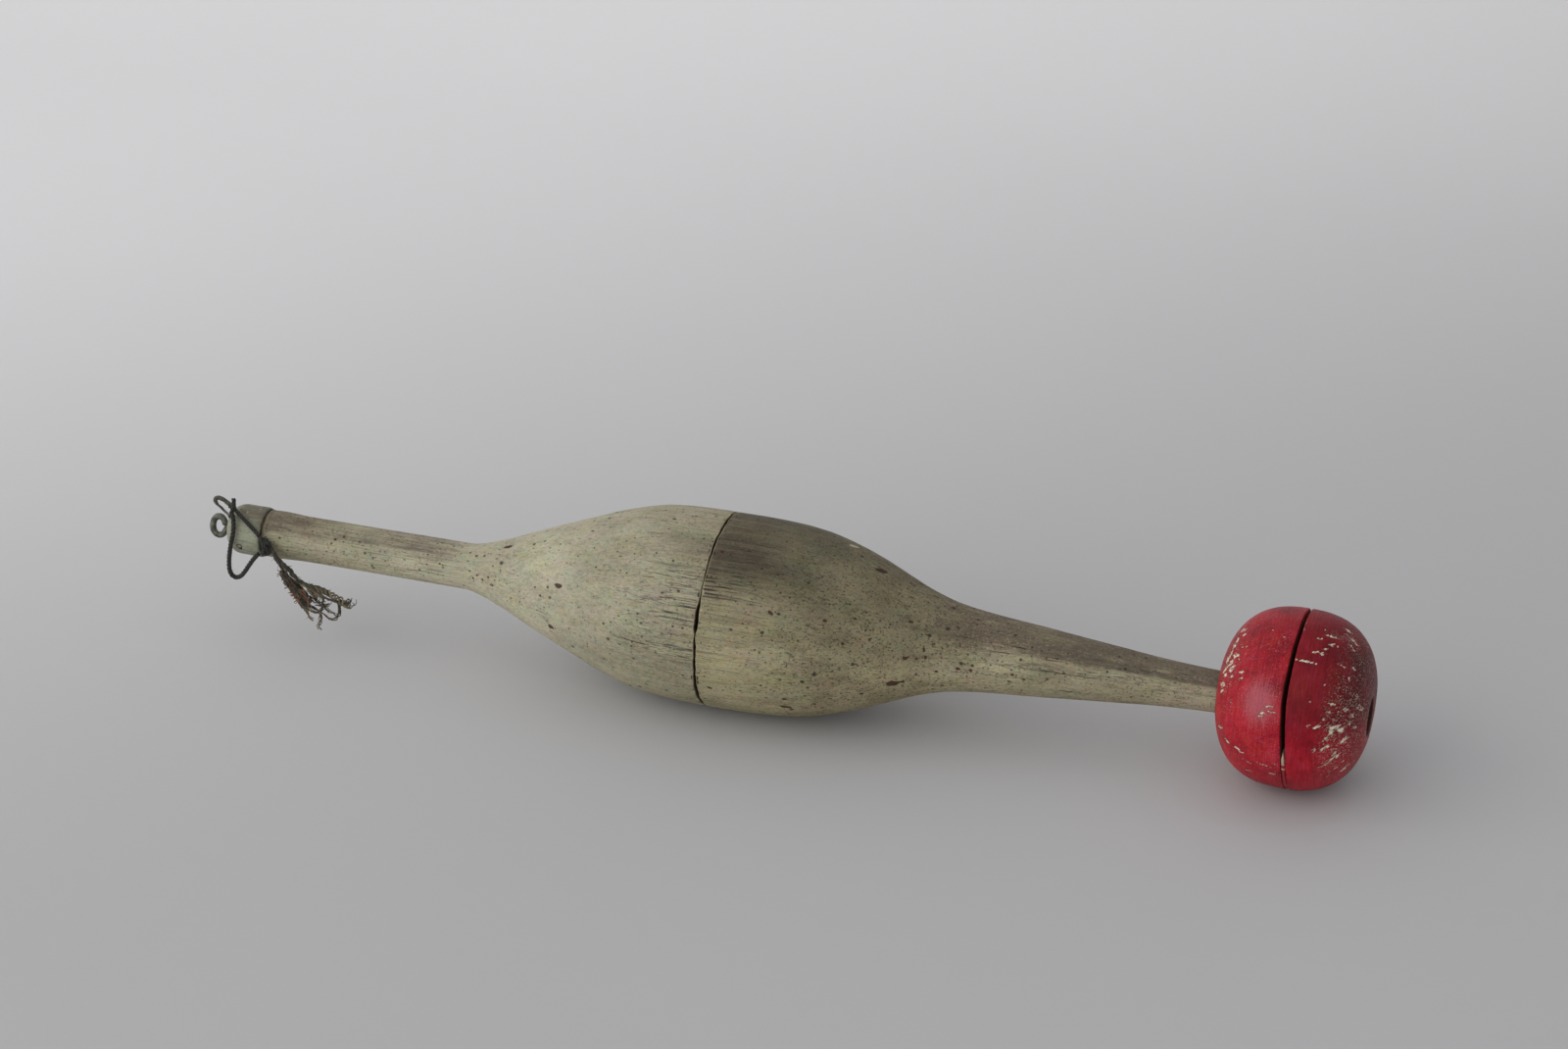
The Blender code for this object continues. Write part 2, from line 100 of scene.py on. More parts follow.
def smooth_radius(stations, x):
    """Radius at x on a monotone cubic through (distance, diameter) stations."""
    places, diameters = np.array(stations, float).T
    lengths = np.diff(places)
    slopes = np.diff(diameters) / lengths
    tangents = np.zeros(len(places))
    tangents[0], tangents[-1] = slopes[0], slopes[-1]
    for i in range(1, len(places) - 1):
        before, after = slopes[i - 1], slopes[i]
        if before * after > 0:
            tangents[i] = 2 * before * after / (before + after)
    x = np.asarray(x, float)
    k = np.clip(np.searchsorted(places, x, side="right") - 1, 0, len(places) - 2)
    t = (x - places[k]) / lengths[k]
    return ((2 * t**3 - 3 * t**2 + 1) * diameters[k]
            + (t**3 - 2 * t**2 + t) * lengths[k] * tangents[k]
            + (-2 * t**3 + 3 * t**2) * diameters[k + 1]
            + (t**3 - t**2) * lengths[k] * tangents[k + 1]) / 2


def whorl_radius(x):
    share = np.clip(np.abs(x - WHORL_MID) / WHORL_HALF, 0, 1)
    return WHORL_R * (1 - share**WHORL_POWER) ** (1 / WHORL_POWER)


# ------------------------------------------------------------------ seeded noise and steps
def lattice(x, y, z, seed):
    """A value from 0 to 1 for each whole-numbered point."""
    value = (x * 73856093) ^ (y * 19349663) ^ (z * 83492791) ^ (seed * 1640531527 + 974711)
    value &= 0xFFFFFFFF
    value = ((value ^ (value >> 15)) * 2246822519) & 0xFFFFFFFF
    value = ((value ^ (value >> 13)) * 3266489917) & 0xFFFFFFFF
    return ((value ^ (value >> 16)) & 0xFFFFFF) / 16777215.0


def noise(x, y, z, seed=0):
    """Smooth value noise, -1 to 1, one unit to a cell."""
    point = np.broadcast_arrays(*(np.asarray(value, float) for value in (x, y, z)))
    cell = [np.floor(value) for value in point]
    parts = [value - floor for value, floor in zip(point, cell)]
    eased = [part * part * part * (part * (part * 6 - 15) + 10) for part in parts]
    cell = [floor.astype(np.int64) for floor in cell]
    total = 0.0
    for corner in itertools.product((0, 1), repeat=3):
        weight = [ease if far else 1 - ease for ease, far in zip(eased, corner)]
        at_corner = lattice(*(floor + far for floor, far in zip(cell, corner)), seed)
        total = total + weight[0] * weight[1] * weight[2] * at_corner
    return total * 2 - 1


def ring_noise(degrees, scale, height, seed):
    """Noise that closes on itself round a circle."""
    turn = np.radians(degrees)
    return noise(np.cos(turn) * scale, np.sin(turn) * scale, height, seed)


def step(start, end, x):
    """Smooth step from 0 at start to 1 at end; start may be above end."""
    t = np.clip((np.asarray(x, float) - start) / (end - start), 0, 1)
    return t * t * (3 - 2 * t)


def band(x, rise, full, fall, gone):
    """0 before rise, 1 from full to fall, 0 after gone."""
    return step(rise, full, x) * (1 - step(fall, gone, x))


def look_up(table, x):
    """Straight-line interpolation in a table of (place, value)."""
    places, values = np.array(table, float).T
    return np.interp(x, places, values)


def wrap(degrees):
    return (np.asarray(degrees, float) + 180) % 360 - 180


# ------------------------------------------------------------------ mesh makers
def add_piece(name, points, faces, body, replaced, material, attrs, sharp=None):
    """One piece from points in shaft coordinates, faces turned outwards, riding on body."""
    verts = world(points)
    mesh = bpy.data.meshes.new(name)
    mesh.from_pydata(verts.tolist(), [], faces)
    mesh.update()
    mesh.calc_loop_triangles()
    corners = np.zeros(len(mesh.loop_triangles) * 3, np.int32)
    mesh.loop_triangles.foreach_get("vertices", corners)
    first, second, third = (verts - verts.mean(0))[corners.reshape(-1, 3).T]
    if np.einsum("ij,ij->i", first, np.cross(second, third)).sum() < 0:
        mesh.flip_normals()
    for key, values in attrs.items():
        attribute = mesh.attributes.new(key, "FLOAT", "POINT")
        attribute.data.foreach_set("value", np.ascontiguousarray(values, np.float32).ravel())
    attribute = mesh.attributes.new("sp", "FLOAT_VECTOR", "POINT")
    attribute.data.foreach_set("vector", np.ascontiguousarray(points, np.float32).ravel())
    mesh.materials.append(material)
    mesh.shade_smooth()
    if sharp:
        mesh.set_sharp_from_angle(angle=math.radians(sharp))
    piece = bpy.data.objects.new(name, mesh)
    bpy.context.scene.collection.objects.link(piece)
    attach(piece, body)
    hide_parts(replaced)
    return piece


def grid_faces(rows, columns, start=0):
    """Quads of a grid of vertices that closes on itself round its columns."""
    row = np.arange(rows - 1)[:, None] * columns + start
    column = np.arange(columns)[None, :]
    here, beside = row + column, row + (column + 1) % columns
    quads = np.stack([here, beside, beside + columns, here + columns], -1)
    return quads.reshape(-1, 4).tolist()


def join_rings(last, first, count):
    """Quads between the rings of vertices that start at last and at first."""
    return [[last + k, last + (k + 1) % count, first + (k + 1) % count, first + k]
            for k in range(count)]


def end_fans(first, last, count, centre):
    """Triangles from the end rings to their middles, vertices centre and centre + 1."""
    return ([[centre, first + (k + 1) % count, first + k] for k in range(count)]
            + [[centre + 1, last + k, last + (k + 1) % count] for k in range(count)])


def spaced_angles(count, bias=0.3, peak=25.0):
    """Angles from the front, closer together round the peak angle."""
    degrees = np.linspace(-180, 180, 4001)
    density = 1 + bias * np.cos(np.radians(degrees - peak))
    reached = np.concatenate([[0], np.cumsum((density[1:] + density[:-1]) / 2)])
    return np.interp(np.arange(count) / count * reached[-1], reached, degrees)


def lengths_along(path):
    return np.concatenate([[0], np.cumsum(np.linalg.norm(np.diff(path, axis=0), axis=1))])


def smooth_path(points, spacing=0.12):
    """Catmull-Rom through the points, then even steps along it."""
    knots = np.array(points, float)
    knots = np.vstack([2 * knots[0] - knots[1], knots, 2 * knots[-1] - knots[-2]])
    curve = []
    for before, start, end, after in zip(knots, knots[1:], knots[2:], knots[3:]):
        for t in np.linspace(0, 1, 24, endpoint=False):
            curve.append(0.5 * (2 * start + (end - before) * t
                                + (2 * before - 5 * start + 4 * end - after) * t * t
                                + (3 * start - before - 3 * end + after) * t**3))
    curve.append(knots[-2])
    curve = np.array(curve)
    reached = lengths_along(curve)
    count = max(3, int(round(reached[-1] / spacing)) + 1)
    at = np.linspace(0, reached[-1], count)
    return np.stack([np.interp(at, reached, curve[:, k]) for k in range(3)], 1)


def directions(path, closed=False):
    """Directions along a path, and two across it that turn as little as they can."""
    if closed:
        ahead = np.roll(path, -1, 0) - np.roll(path, 1, 0)
    else:
        ahead = np.gradient(path, axis=0)
    ahead /= np.linalg.norm(ahead, axis=1)[:, None] + 1e-12
    first = np.array((0, 1.0, 0)) if abs(ahead[0, 1]) < 0.9 else np.array((1.0, 0, 0))
    across = np.zeros_like(ahead)
    current = np.cross(ahead[0], first)
    for i, tangent in enumerate(ahead):
        current = current - tangent * (current @ tangent)
        current /= np.linalg.norm(current) + 1e-12
        across[i] = current
    if closed:      # share out the turn left over at the join
        end = across[-1] - ahead[0] * (across[-1] @ ahead[0])
        left = math.atan2(np.cross(end, across[0]) @ ahead[0], end @ across[0])
        turn = np.linspace(0, left, len(ahead))[:, None]
        across = across * np.cos(turn) + np.cross(ahead, across) * np.sin(turn)
    return ahead, across, np.cross(ahead, across)


class Strands:
    """A heap of round strands gathered into one mesh."""

    def __init__(self):
        self.points, self.faces, self.tints, self.lengths, self.count = [], [], [], [], 0

    def tube(self, path, radius, sides=8, closed=False, tint=0.5, ends=2, rough=0.0, seed=0):
        """Adds a tube; an open one gets rounded ends of so many extra rings."""
        path = np.asarray(path, float)
        ahead, across, third = directions(path, closed)
        radius = np.broadcast_to(np.asarray(radius, float), (len(path),))
        reached = lengths_along(path)
        if not closed and ends:
            lead = [(math.cos(a), math.sin(a))
                    for a in np.linspace(0.35, math.pi / 2, ends + 1)[:-1]]
            first, last = ahead[0] * radius[0], ahead[-1] * radius[-1]
            path = np.vstack([[path[0] - first * back for back, _ in lead], path,
                              [path[-1] + last * back for back, _ in reversed(lead)]])
            radius = np.concatenate([[radius[0] * size for _, size in lead], radius,
                                     [radius[-1] * size for _, size in reversed(lead)]])
            ahead, across, third = (np.pad(rows, ((ends, ends), (0, 0)), "edge")
                                    for rows in (ahead, across, third))
            reached = np.pad(reached, ends, "edge")
        turn = np.arange(sides) * 2 * math.pi / sides
        cos, sin = np.cos(turn), np.sin(turn)
        radii = radius[:, None] * np.ones(sides)
        if rough:
            round_ = across[:, None, :] * cos[:, None] + third[:, None, :] * sin[:, None]
            skin = path[:, None, :] + round_ * radii[..., None]
            radii = radii * (1 + rough * noise(*np.moveaxis(skin * 1.6, -1, 0), seed))
        points = (path[:, None, :] + across[:, None, :] * (cos * radii)[..., None]
                  + third[:, None, :] * (sin * radii)[..., None])
        rows = len(path)
        last_ring = self.count + (rows - 1) * sides
        self.faces += grid_faces(rows, sides, self.count)
        self.points.append(points.reshape(-1, 3))
        middles = 0
        if closed:
            self.faces += join_rings(last_ring, self.count, sides)
        else:
            middles = 2
            self.faces += end_fans(self.count, last_ring, sides, self.count + rows * sides)
            self.points.append(np.array([path[0] - ahead[0] * radius[0] * 0.15,
                                         path[-1] + ahead[-1] * radius[-1] * 0.15]))
        tint = np.atleast_1d(tint)
        tint = np.interp(reached, np.linspace(0, reached[-1], len(tint)), tint)
        for store, values in ((self.tints, tint), (self.lengths, reached)):
            store.append(np.concatenate([np.repeat(values, sides), [values[-1]] * middles]))
        self.count += rows * sides + middles

    def build(self, name, body, replaced, material):
        attrs = {"tint": np.concatenate(self.tints), "along": np.concatenate(self.lengths)}
        return add_piece(name, np.vstack(self.points), self.faces, body, replaced,
                         material, attrs)


def twist(path, helix, pitch, count, phase=0.0, loosen=None, closed=False):
    """The plies of a cord laid along a path. loosen widens the lay, from 0 to 1 along it."""
    _, across, third = directions(path, closed)
    reached = lengths_along(path)
    total = reached[-1] + (np.linalg.norm(path[0] - path[-1]) if closed else 0)
    turns = round(total / pitch) if closed else total / pitch
    share = reached / reached[-1]
    width = helix * (loosen(share) if loosen else np.ones_like(share))
    plies = []
    for k in range(count):
        turn = 2 * math.pi * (reached / total * turns + k / count) + phase
        plies.append(path + (width * np.cos(turn))[:, None] * across
                     + (width * np.sin(turn))[:, None] * third)
    return plies


# ------------------------------------------------------------------ material helpers
class Output:
    """A node's output. +, - and * add a Math node, or a Vector Math node for vectors."""

    def __init__(self, graph, socket):
        self.graph, self.socket = graph, socket

    def __add__(self, other):
        return self.graph.math("ADD", self, other)

    def __radd__(self, other):
        return self.graph.math("ADD", other, self)

    def __sub__(self, other):
        return self.graph.math("SUBTRACT", self, other)

    def __mul__(self, other):
        return self.graph.math("MULTIPLY", self, other)


def is_vector(value):
    return isinstance(value, tuple) or (isinstance(value, Output)
                                        and value.socket.type != "VALUE")


def scaled(colour, factor, lift=0.0):
    return tuple(part * factor + lift for part in colour)


class Graph:
    """The node graph of one material."""

    def __init__(self, name):
        self.material = bpy.data.materials.new(name)
        self.material.use_nodes = True
        self.tree = self.material.node_tree
        self.tree.nodes.clear()
        self.end = self.tree.nodes.new("ShaderNodeOutputMaterial")

    def put(self, socket, value):
        if isinstance(value, Output):
            self.tree.links.new(value.socket, socket)
            return
        if isinstance(value, tuple) and socket.type == "RGBA":
            value = (*value, 1.0)
        socket.default_value = value

    def add(self, kind, inputs=(), **settings):
        """A new node's outputs. inputs is in socket order, or keyed by socket."""
        node = self.tree.nodes.new(kind)
        for key, value in settings.items():
            setattr(node, key, value)
        pairs = inputs.items() if isinstance(inputs, dict) else enumerate(inputs)
        for key, value in pairs:
            self.put(node.inputs[key], value)
        return {key: Output(self, socket) for i, socket in enumerate(node.outputs)
                for key in (i, socket.name)}

    def attr(self, name, kind="Fac"):
        return self.add("ShaderNodeAttribute", attribute_name=name)[kind]

    def object_place(self):
        return self.add("ShaderNodeTexCoord")["Object"]

    def math(self, operation, *values, clamp=False):
        if any(is_vector(value) for value in values):
            return self.add("ShaderNodeVectorMath", values, operation=operation)[0]
        return self.add("ShaderNodeMath", values, operation=operation, use_clamp=clamp)[0]

    def noise(self, place, scale, detail=3.0, rough=0.55, distortion=0.0, out="Fac"):
        inputs = {"Vector": place, "Scale": scale, "Detail": detail, "Roughness": rough,
                  "Distortion": distortion}
        node = self.add("ShaderNodeTexNoise", inputs)
        return node[out]

    def split(self, place):
        parts = self.add("ShaderNodeSeparateXYZ", (place,))
        return parts[0], parts[1], parts[2]

    def step(self, value, start, end, low=0.0, high=1.0):
        return self.add("ShaderNodeMapRange", (value, start, end, low, high),
                        interpolation_type="SMOOTHSTEP")[0]

    def ragged(self, value, *textures):
        """Value with textures, each with an amount, breaking it up."""
        for texture, amount in textures:
            value = value + (texture - 0.5) * amount
        return value

    def mix(self, cover, under, over):
        return self.add("ShaderNodeMix", {0: cover, 6: under, 7: over}, data_type="RGBA",
                        blend_type="MIX", clamp_factor=True)[2]

    def layers(self, base, *rows):
        """Lays colours over base. Rows: texture, where cover starts, is full, cover, colour."""
        for texture, start, full, cover, colour in rows:
            base = self.mix(self.step(texture, start, full, 0.0, cover), base, colour)
        return base

    def ramp(self, value, *stops):
        """Stops are (position, colour)."""
        node = self.tree.nodes.new("ShaderNodeValToRGB")
        self.put(node.inputs[0], value)
        elements = node.color_ramp.elements
        while len(elements) < len(stops):
            elements.new(0.5)
        for element, (position, colour) in zip(elements, stops):
            element.position, element.color = position, (*colour, 1)
        return Output(self, node.outputs[0])

    def bump(self, height, distance, strength):
        inputs = {"Strength": strength, "Distance": distance, "Height": height}
        return self.add("ShaderNodeBump", inputs)[0]

    def principled(self, colour, roughness, normal, **more):
        inputs = {"Base Color": colour, "Roughness": roughness, "Normal": normal}
        inputs.update({key.replace("_", " "): value for key, value in more.items()})
        return self.add("ShaderNodeBsdfPrincipled", inputs)[0]

    def finish(self, shader):
        self.put(self.end.inputs[0], shader)
        return self.material

    def surface(self, colour, roughness, normal, **more):
        return self.finish(self.principled(colour, roughness, normal, **more))


# ------------------------------------------------------------------ materials
def paint_textures(mat, place):
    """The noises of the weathered paint, drawn out along the shaft."""
    def drawn(stretch):
        return place * (stretch, 1.0, 1.0)

    along = drawn(0.030)
    return SimpleNamespace(
        cloud=mat.noise(drawn(0.45), scale=0.13, detail=5.0, rough=0.62),
        mottle=mat.noise(drawn(0.55), scale=0.62, detail=4.0, rough=0.66),
        streak=mat.noise(along, scale=1.35, detail=4.0, rough=0.62),
        fine=mat.noise(along, scale=3.6, rough=0.6),
        hair=mat.noise(drawn(0.012), scale=0.95, detail=2.0, rough=0.5),
        hair2=mat.noise(drawn(0.016) + (3.0, 8.0, 5.0), scale=1.9, detail=2.0, rough=0.5),
        patch=mat.noise(drawn(0.10), scale=0.55, detail=4.0, rough=0.6),
        speck=mat.noise(place, scale=2.6, rough=0.6),
        grit=mat.noise(drawn(0.55), scale=1.7, rough=0.72),
        pepper=mat.noise(drawn(0.75), scale=2.3, detail=1.5, rough=0.6))


def paint_tone(mat, place, tex, contrast, pale, mid, dark):
    """Cloudy paint with patches of hue, green to pink to straw, coarse and fine."""
    tone = tex.cloud * 0.50 + tex.mottle * 0.18 + tex.grit * 0.32 + (tex.patch - 0.5) * 0.36
    tone = 0.5 + (tone - 0.5) * contrast
    base = mat.ramp(tone, (0.30, dark), (0.42, mid), (0.54, pale), (0.72, scaled(pale, 1.12)))
    for scale, much, move in ((0.26, 0.34, (31.0, 7.0, 3.0)), (1.5, 0.50, (3.0, 17.0, 9.0))):
        hue = mat.noise(place * (0.5, 1.0, 1.0) + move, scale, rough=0.62, out="Color")
        base = base * (hue * (much, much * 0.72, much)
                       + (1 - much / 2, 1 - much * 0.36, 1 - much / 2))
    return base


def paint_wear(mat, base, tex, contrast, pale, mid, dark, worn):
    """Bare dark wood with painted shade, pale rubbed streaks, fine grain and grains of dirt."""
    # the dark mask: bare dark wood and dirt, partly painted shade and painted shadow on the upper
    # side near the joint
    dirt = mat.ragged(mat.attr("dark"), (tex.patch, 1.3), (tex.mottle, 0.8), (tex.grit, 1.3),
                      (tex.streak, 1.1))
    bare = mat.mix(tex.grit, scaled(worn, 0.72), scaled(worn, 1.45))
    base = mat.mix(mat.step(dirt, 0.12, 1.15) * 0.86, base, bare)
    rubbed = mat.ragged(mat.attr("light"), (tex.streak, 1.6))
    base = mat.mix(mat.step(rubbed, 0.35, 0.95) * 0.6, base, scaled(pale, 1.30))
    base = mat.layers(base,
                      (tex.streak, 0.47, 0.30, 0.42, scaled(mid, 0.50)),
                      (tex.fine, 0.46, 0.30, 0.45, scaled(mid, 0.42)),
                      (tex.fine, 0.57, 0.70, 0.28, scaled(pale, 1.25)),
                      (tex.grit, 0.57, 0.70, 0.22, scaled(pale, 1.25)))
    # texture, where cover starts, is full, cover, share of the dark colour
    for texture, start, full, cover, shade in ((tex.grit, 0.43, 0.30, 0.46, 0.8),
                                               (tex.speck, 0.40, 0.28, 0.42, 0.7)):
        amount = mat.step(texture, start, full, 0.0, cover) * contrast
        base = mat.mix(amount, base, scaled(dark, shade))
    # dark grains caught in the paint, and pale grains between them
    for start, full, cover, colour in ((0.43, 0.31, 0.72, (0.060, 0.052, 0.036)),
                                       (0.60, 0.70, 0.30, scaled(pale, 1.2))):
        amount = mat.step(tex.pepper, start, full) * (mat.attr("coarse") * cover)
        base = mat.mix(amount, base, colour)
    return base


def dirt_threads(mat, base, tex):
    """Threads of dirt that lie close together where the paint has worn in lines."""
    def thread(hair):
        return mat.step(mat.math("ABSOLUTE", hair - 0.5), 0.030, 0.008)

    thin = mat.math("MAXIMUM", thread(tex.hair), thread(tex.hair2) * 0.8)
    thin = thin * mat.step(tex.patch, 0.38, 0.55)
    cover = mat.math("MULTIPLY", thin * mat.attr("lines"), 0.80, clamp=True)
    return mat.mix(cover, base, (0.060, 0.056, 0.043))


def pore_mask(mat, place):
    holes = None
    # scale of the cells, how few have a pore, its size, its strength
    for scale, cut, size, strength in ((0.36, 0.94, 0.155, 0.88), (0.62, 0.83, 0.172, 0.82),
                                       (1.02, 0.74, 0.185, 0.72)):
        inputs = {"Vector": place * (0.85, 1.0, 1.0), "Scale": scale, "Randomness": 1.0}
        cells = mat.add("ShaderNodeTexVoronoi", inputs)
        parts = mat.add("ShaderNodeSeparateColor", (cells["Color"],))
        here = mat.math("GREATER_THAN", parts[0] + mat.attr("pores") * 0.55, cut)
        wide = (parts[1] + 0.35) * size
        dot = mat.step(cells["Distance"], wide * 1.2, wide * 0.5) * here * strength
        holes = dot if holes is None else mat.math("MAXIMUM", holes, dot)
    return holes


def weathered(name, pale, mid, dark, worn):
    """Thin old paint over turned wood: cloudy, streaked along the grain, pitted and grimy, with
    painted light and shade.
    """
    mat = Graph(name)
    place = mat.attr("sp", "Vector")
    tex = paint_textures(mat, place)
    contrast = 0.50 + mat.attr("coarse") * 0.60      # how strongly the mottling shows
    base = paint_tone(mat, place, tex, contrast, pale, mid, dark)
    base = paint_wear(mat, base, tex, contrast, pale, mid, dark, worn)
    base = dirt_threads(mat, base, tex)
    holes = pore_mask(mat, place)
    base = mat.mix(holes, base, (0.034, 0.026, 0.018))
    base = base * (mat.attr("cool") * (-0.045, 0.015, 0.20) + (1.0, 1.0, 1.0))
    # painted light and shade, partly paint tone, from the lit attribute
    base = base * (1.0 + mat.attr("lit"))
    spot = mat.step(mat.ragged(mat.attr("spot"), (tex.speck, 0.5)), 0.32, 0.62)
    spot_colour = mat.mix(tex.mottle, (0.085, 0.034, 0.024), (0.034, 0.019, 0.015))
    base = mat.mix(spot * 0.92, base, spot_colour)
    groove = mat.step(mat.ragged(mat.attr("groove"), (tex.streak, 0.35)), 0.30, 0.75)
    base = mat.mix(groove * 0.92, base, (0.026, 0.020, 0.014))
    cream = mat.step(mat.ragged(mat.attr("cream"), (tex.speck, 0.8)), 0.40, 0.62)
    base = mat.mix(cream * 0.80, base, (0.50, 0.45, 0.33))
    inside = mat.attr("inside")
    wood = mat.mix(tex.streak, (0.045, 0.030, 0.020), (0.12, 0.080, 0.050))
    base = mat.mix(inside, base, wood)
    height = (tex.streak * 0.8 + tex.fine * 0.6 + tex.grit * 0.6 + tex.speck * 0.30
              - holes * 0.9)
    rough = mat.math("ADD", 0.62 + tex.mottle * 0.22,
                     mat.math("MAXIMUM", spot, inside) * 0.15, clamp=True)
    return mat.surface(base, rough, mat.bump(height, distance=0.00017, strength=0.9),
                       Specular_IOR_Level=0.30)


def red_body(mat, place, rings, fine_rings, mottle, speck):
    """The crimson itself, with its clouds, turning rings, dark worn parts with painted shade,
    painted light and shade, and a painted pink highlight.
    """
    cloud = mat.noise(place, scale=0.17, detail=4.0, rough=0.62)
    warm = mat.noise(place + (9.0, 4.0, 27.0), scale=0.24, rough=0.6)
    base = mat.ramp(cloud, (0.32, (0.225, 0.0040, 0.012)), (0.46, (0.335, 0.0060, 0.018)),
                    (0.56, (0.395, 0.0095, 0.021)), (0.70, (0.440, 0.0200, 0.044)))
    base = mat.layers(base,
                      (warm, 0.54, 0.70, 0.50, (0.430, 0.0230, 0.0120)),
                      (warm, 0.46, 0.34, 0.50, (0.330, 0.0130, 0.0420)),
                      (mottle, 0.56, 0.72, 0.45, (0.46, 0.048, 0.070)),
                      (mottle, 0.46, 0.28, 0.65, (0.160, 0.005, 0.010)),
                      (rings, 0.47, 0.32, 0.45, (0.175, 0.005, 0.010)),
                      (fine_rings, 0.46, 0.32, 0.30, (0.200, 0.006, 0.012)),
                      (fine_rings, 0.55, 0.70, 0.28, (0.52, 0.070, 0.085)),
                      (speck, 0.44, 0.30, 0.48, (0.110, 0.004, 0.008)))
    # dark worn parts and painted shade
    dull_and_shaded = mat.ragged(mat.attr("dark"), (mottle, 1.1), (speck, 0.5))
    base = mat.mix(mat.step(dull_and_shaded, 0.15, 1.0) * 0.75, base, (0.075, 0.0075, 0.0095))
    # painted light and shade
    base = base * (1.0 + mat.attr("lit"))
    # painted highlight: a pink sheen
    bloom = mat.ragged(mat.attr("bloom"), (speck, 1.2), (fine_rings, 0.8))
    return mat.mix(mat.step(bloom, 0.35, 1.05) * 0.55, base, (0.58, 0.17, 0.21))


def slanted(mat, place, lean=math.radians(33)):
    """Place drawn out into strokes that lean from x towards z."""
    x, y, z = mat.split(place)
    cos, sin = math.cos(lean), math.sin(lean)
    inputs = ((x * cos + z * sin) * 0.34, (z * cos - x * sin) * 1.0, y * 0.5)
    return mat.add("ShaderNodeCombineXYZ", inputs)[0]


def red_paint():
    """Satin crimson paint, chipped to cream wood, dark bare wood inside the joint and the bore,
    with painted shade far inside the bore.
    """
    mat = Graph("red_paint_worn")
    place = mat.attr("sp", "Vector")
    rings = mat.noise(place * (1.0, 0.03, 0.03), scale=1.6, rough=0.6)
    fine_rings = mat.noise(place * (1.0, 0.06, 0.06), scale=5.0, detail=2.0, rough=0.6)
    mottle = mat.noise(place, scale=0.75, detail=4.0, rough=0.65)
    speck = mat.noise(place, scale=3.2, rough=0.62)
    base = red_body(mat, place, rings, fine_rings, mottle, speck)
    # flakes cut out of drawn chips and fleck-prone places
    slant = slanted(mat, place)
    stroke = mat.noise(slant, scale=2.7, rough=0.62, distortion=0.35)
    small = mat.noise(slant, scale=4.8, rough=0.70, distortion=0.35)
    flake = mat.attr("fleck") * mat.step(small, 0.565, 0.615)
    chip = mat.ragged(mat.attr("chip") * 0.80, (stroke, 2.7),
                      (mat.noise(place, scale=3.0, rough=0.7), 0.6))
    chip = mat.step(chip, 0.52, 0.63) * mat.step(mat.attr("chip"), 0.05, 0.22)
    chip = mat.math("MAXIMUM", chip, flake)
    wood = mat.mix(mat.step(mat.noise(place, scale=1.3, rough=0.6), 0.30, 0.62),
                   (0.42, 0.32, 0.23), (0.88, 0.80, 0.64))
    stain = (mat.step(mat.attr("chip") + mat.attr("fleck"), 0.10, 0.8)
             * mat.step(speck, 0.44, 0.60))
    base = mat.mix(stain * 0.40, base, (0.110, 0.010, 0.014))
    base = mat.mix(chip * 0.93, base, wood)
    grey = mat.ragged(mat.attr("grey"),
                      (mat.noise(place, scale=1.7, detail=4.0, rough=0.7), 1.3), (small, 1.5))
    base = mat.mix(mat.step(grey, 0.50, 0.85) * 0.75, base, (0.40, 0.34, 0.29))
    inside = mat.step(mat.ragged(mat.attr("inside"), (speck, 0.5)), 0.35, 0.65)
    bare = mat.mix(mottle, (0.090, 0.036, 0.026), (0.260, 0.110, 0.072))
    base = mat.mix(inside, base, bare)
    # painted shade far inside the bore
    base = mat.mix(mat.attr("deep") * 0.85, base, (0.020, 0.010, 0.009))
    height = rings * 1.3 + fine_rings * 0.8 + mottle * 0.35 + speck * 0.28 - chip * 1.1
    rough = mat.math("ADD", 0.36 + mottle * 0.22,
                     mat.math("MAXIMUM", chip, inside) * 0.35, clamp=True)
    return mat.surface(base, rough, mat.bump(height, distance=0.00015, strength=0.95),
                       Specular_IOR_Level=0.17)


def bare_wood():
    mat = Graph("bare_wood_grain")
    place = mat.object_place()
    grain = mat.noise(place * (30.0, 1000.0, 1000.0), scale=1.6, detail=4.0, rough=0.6)
    fine = mat.noise(place * (60.0, 1000.0, 1000.0), scale=5.0, rough=0.6)
    base = mat.ramp(grain, (0.3, (0.20, 0.12, 0.065)), (0.5, (0.36, 0.24, 0.14)),
                    (0.7, (0.47, 0.34, 0.21)))
    base = mat.layers(base, (fine, 0.45, 0.3, 0.5, (0.14, 0.08, 0.045)))
    return mat.surface(base, 0.6 + fine * 0.25,
                       mat.bump(grain, distance=0.0001, strength=0.6))


def filler_material():
    """Dry cream filler, red where it is painted over, with a dark crack."""
    mat = Graph("cream_filler_dry")
    place = mat.attr("sp", "Vector")
    cloud = mat.noise(place, scale=1.3, detail=4.0, rough=0.65)
    fine = mat.noise(place, scale=4.5, rough=0.6)
    cream = mat.mix(cloud, (0.40, 0.27, 0.15), (0.72, 0.62, 0.45))
    paint = mat.mix(cloud, (0.28, 0.009, 0.018), (0.42, 0.016, 0.028))
    bare = mat.step(mat.ragged(mat.attr("bare"), (fine, 0.7)), 0.4, 0.6)
    base = mat.mix(bare, paint, cream)
    base = mat.layers(base, (mat.attr("crack"), 0.4, 0.8, 1.0, (0.035, 0.012, 0.010)))
    return mat.surface(base, 0.48 + bare * 0.35,
                       mat.bump(cloud + fine, distance=0.00016, strength=0.8))


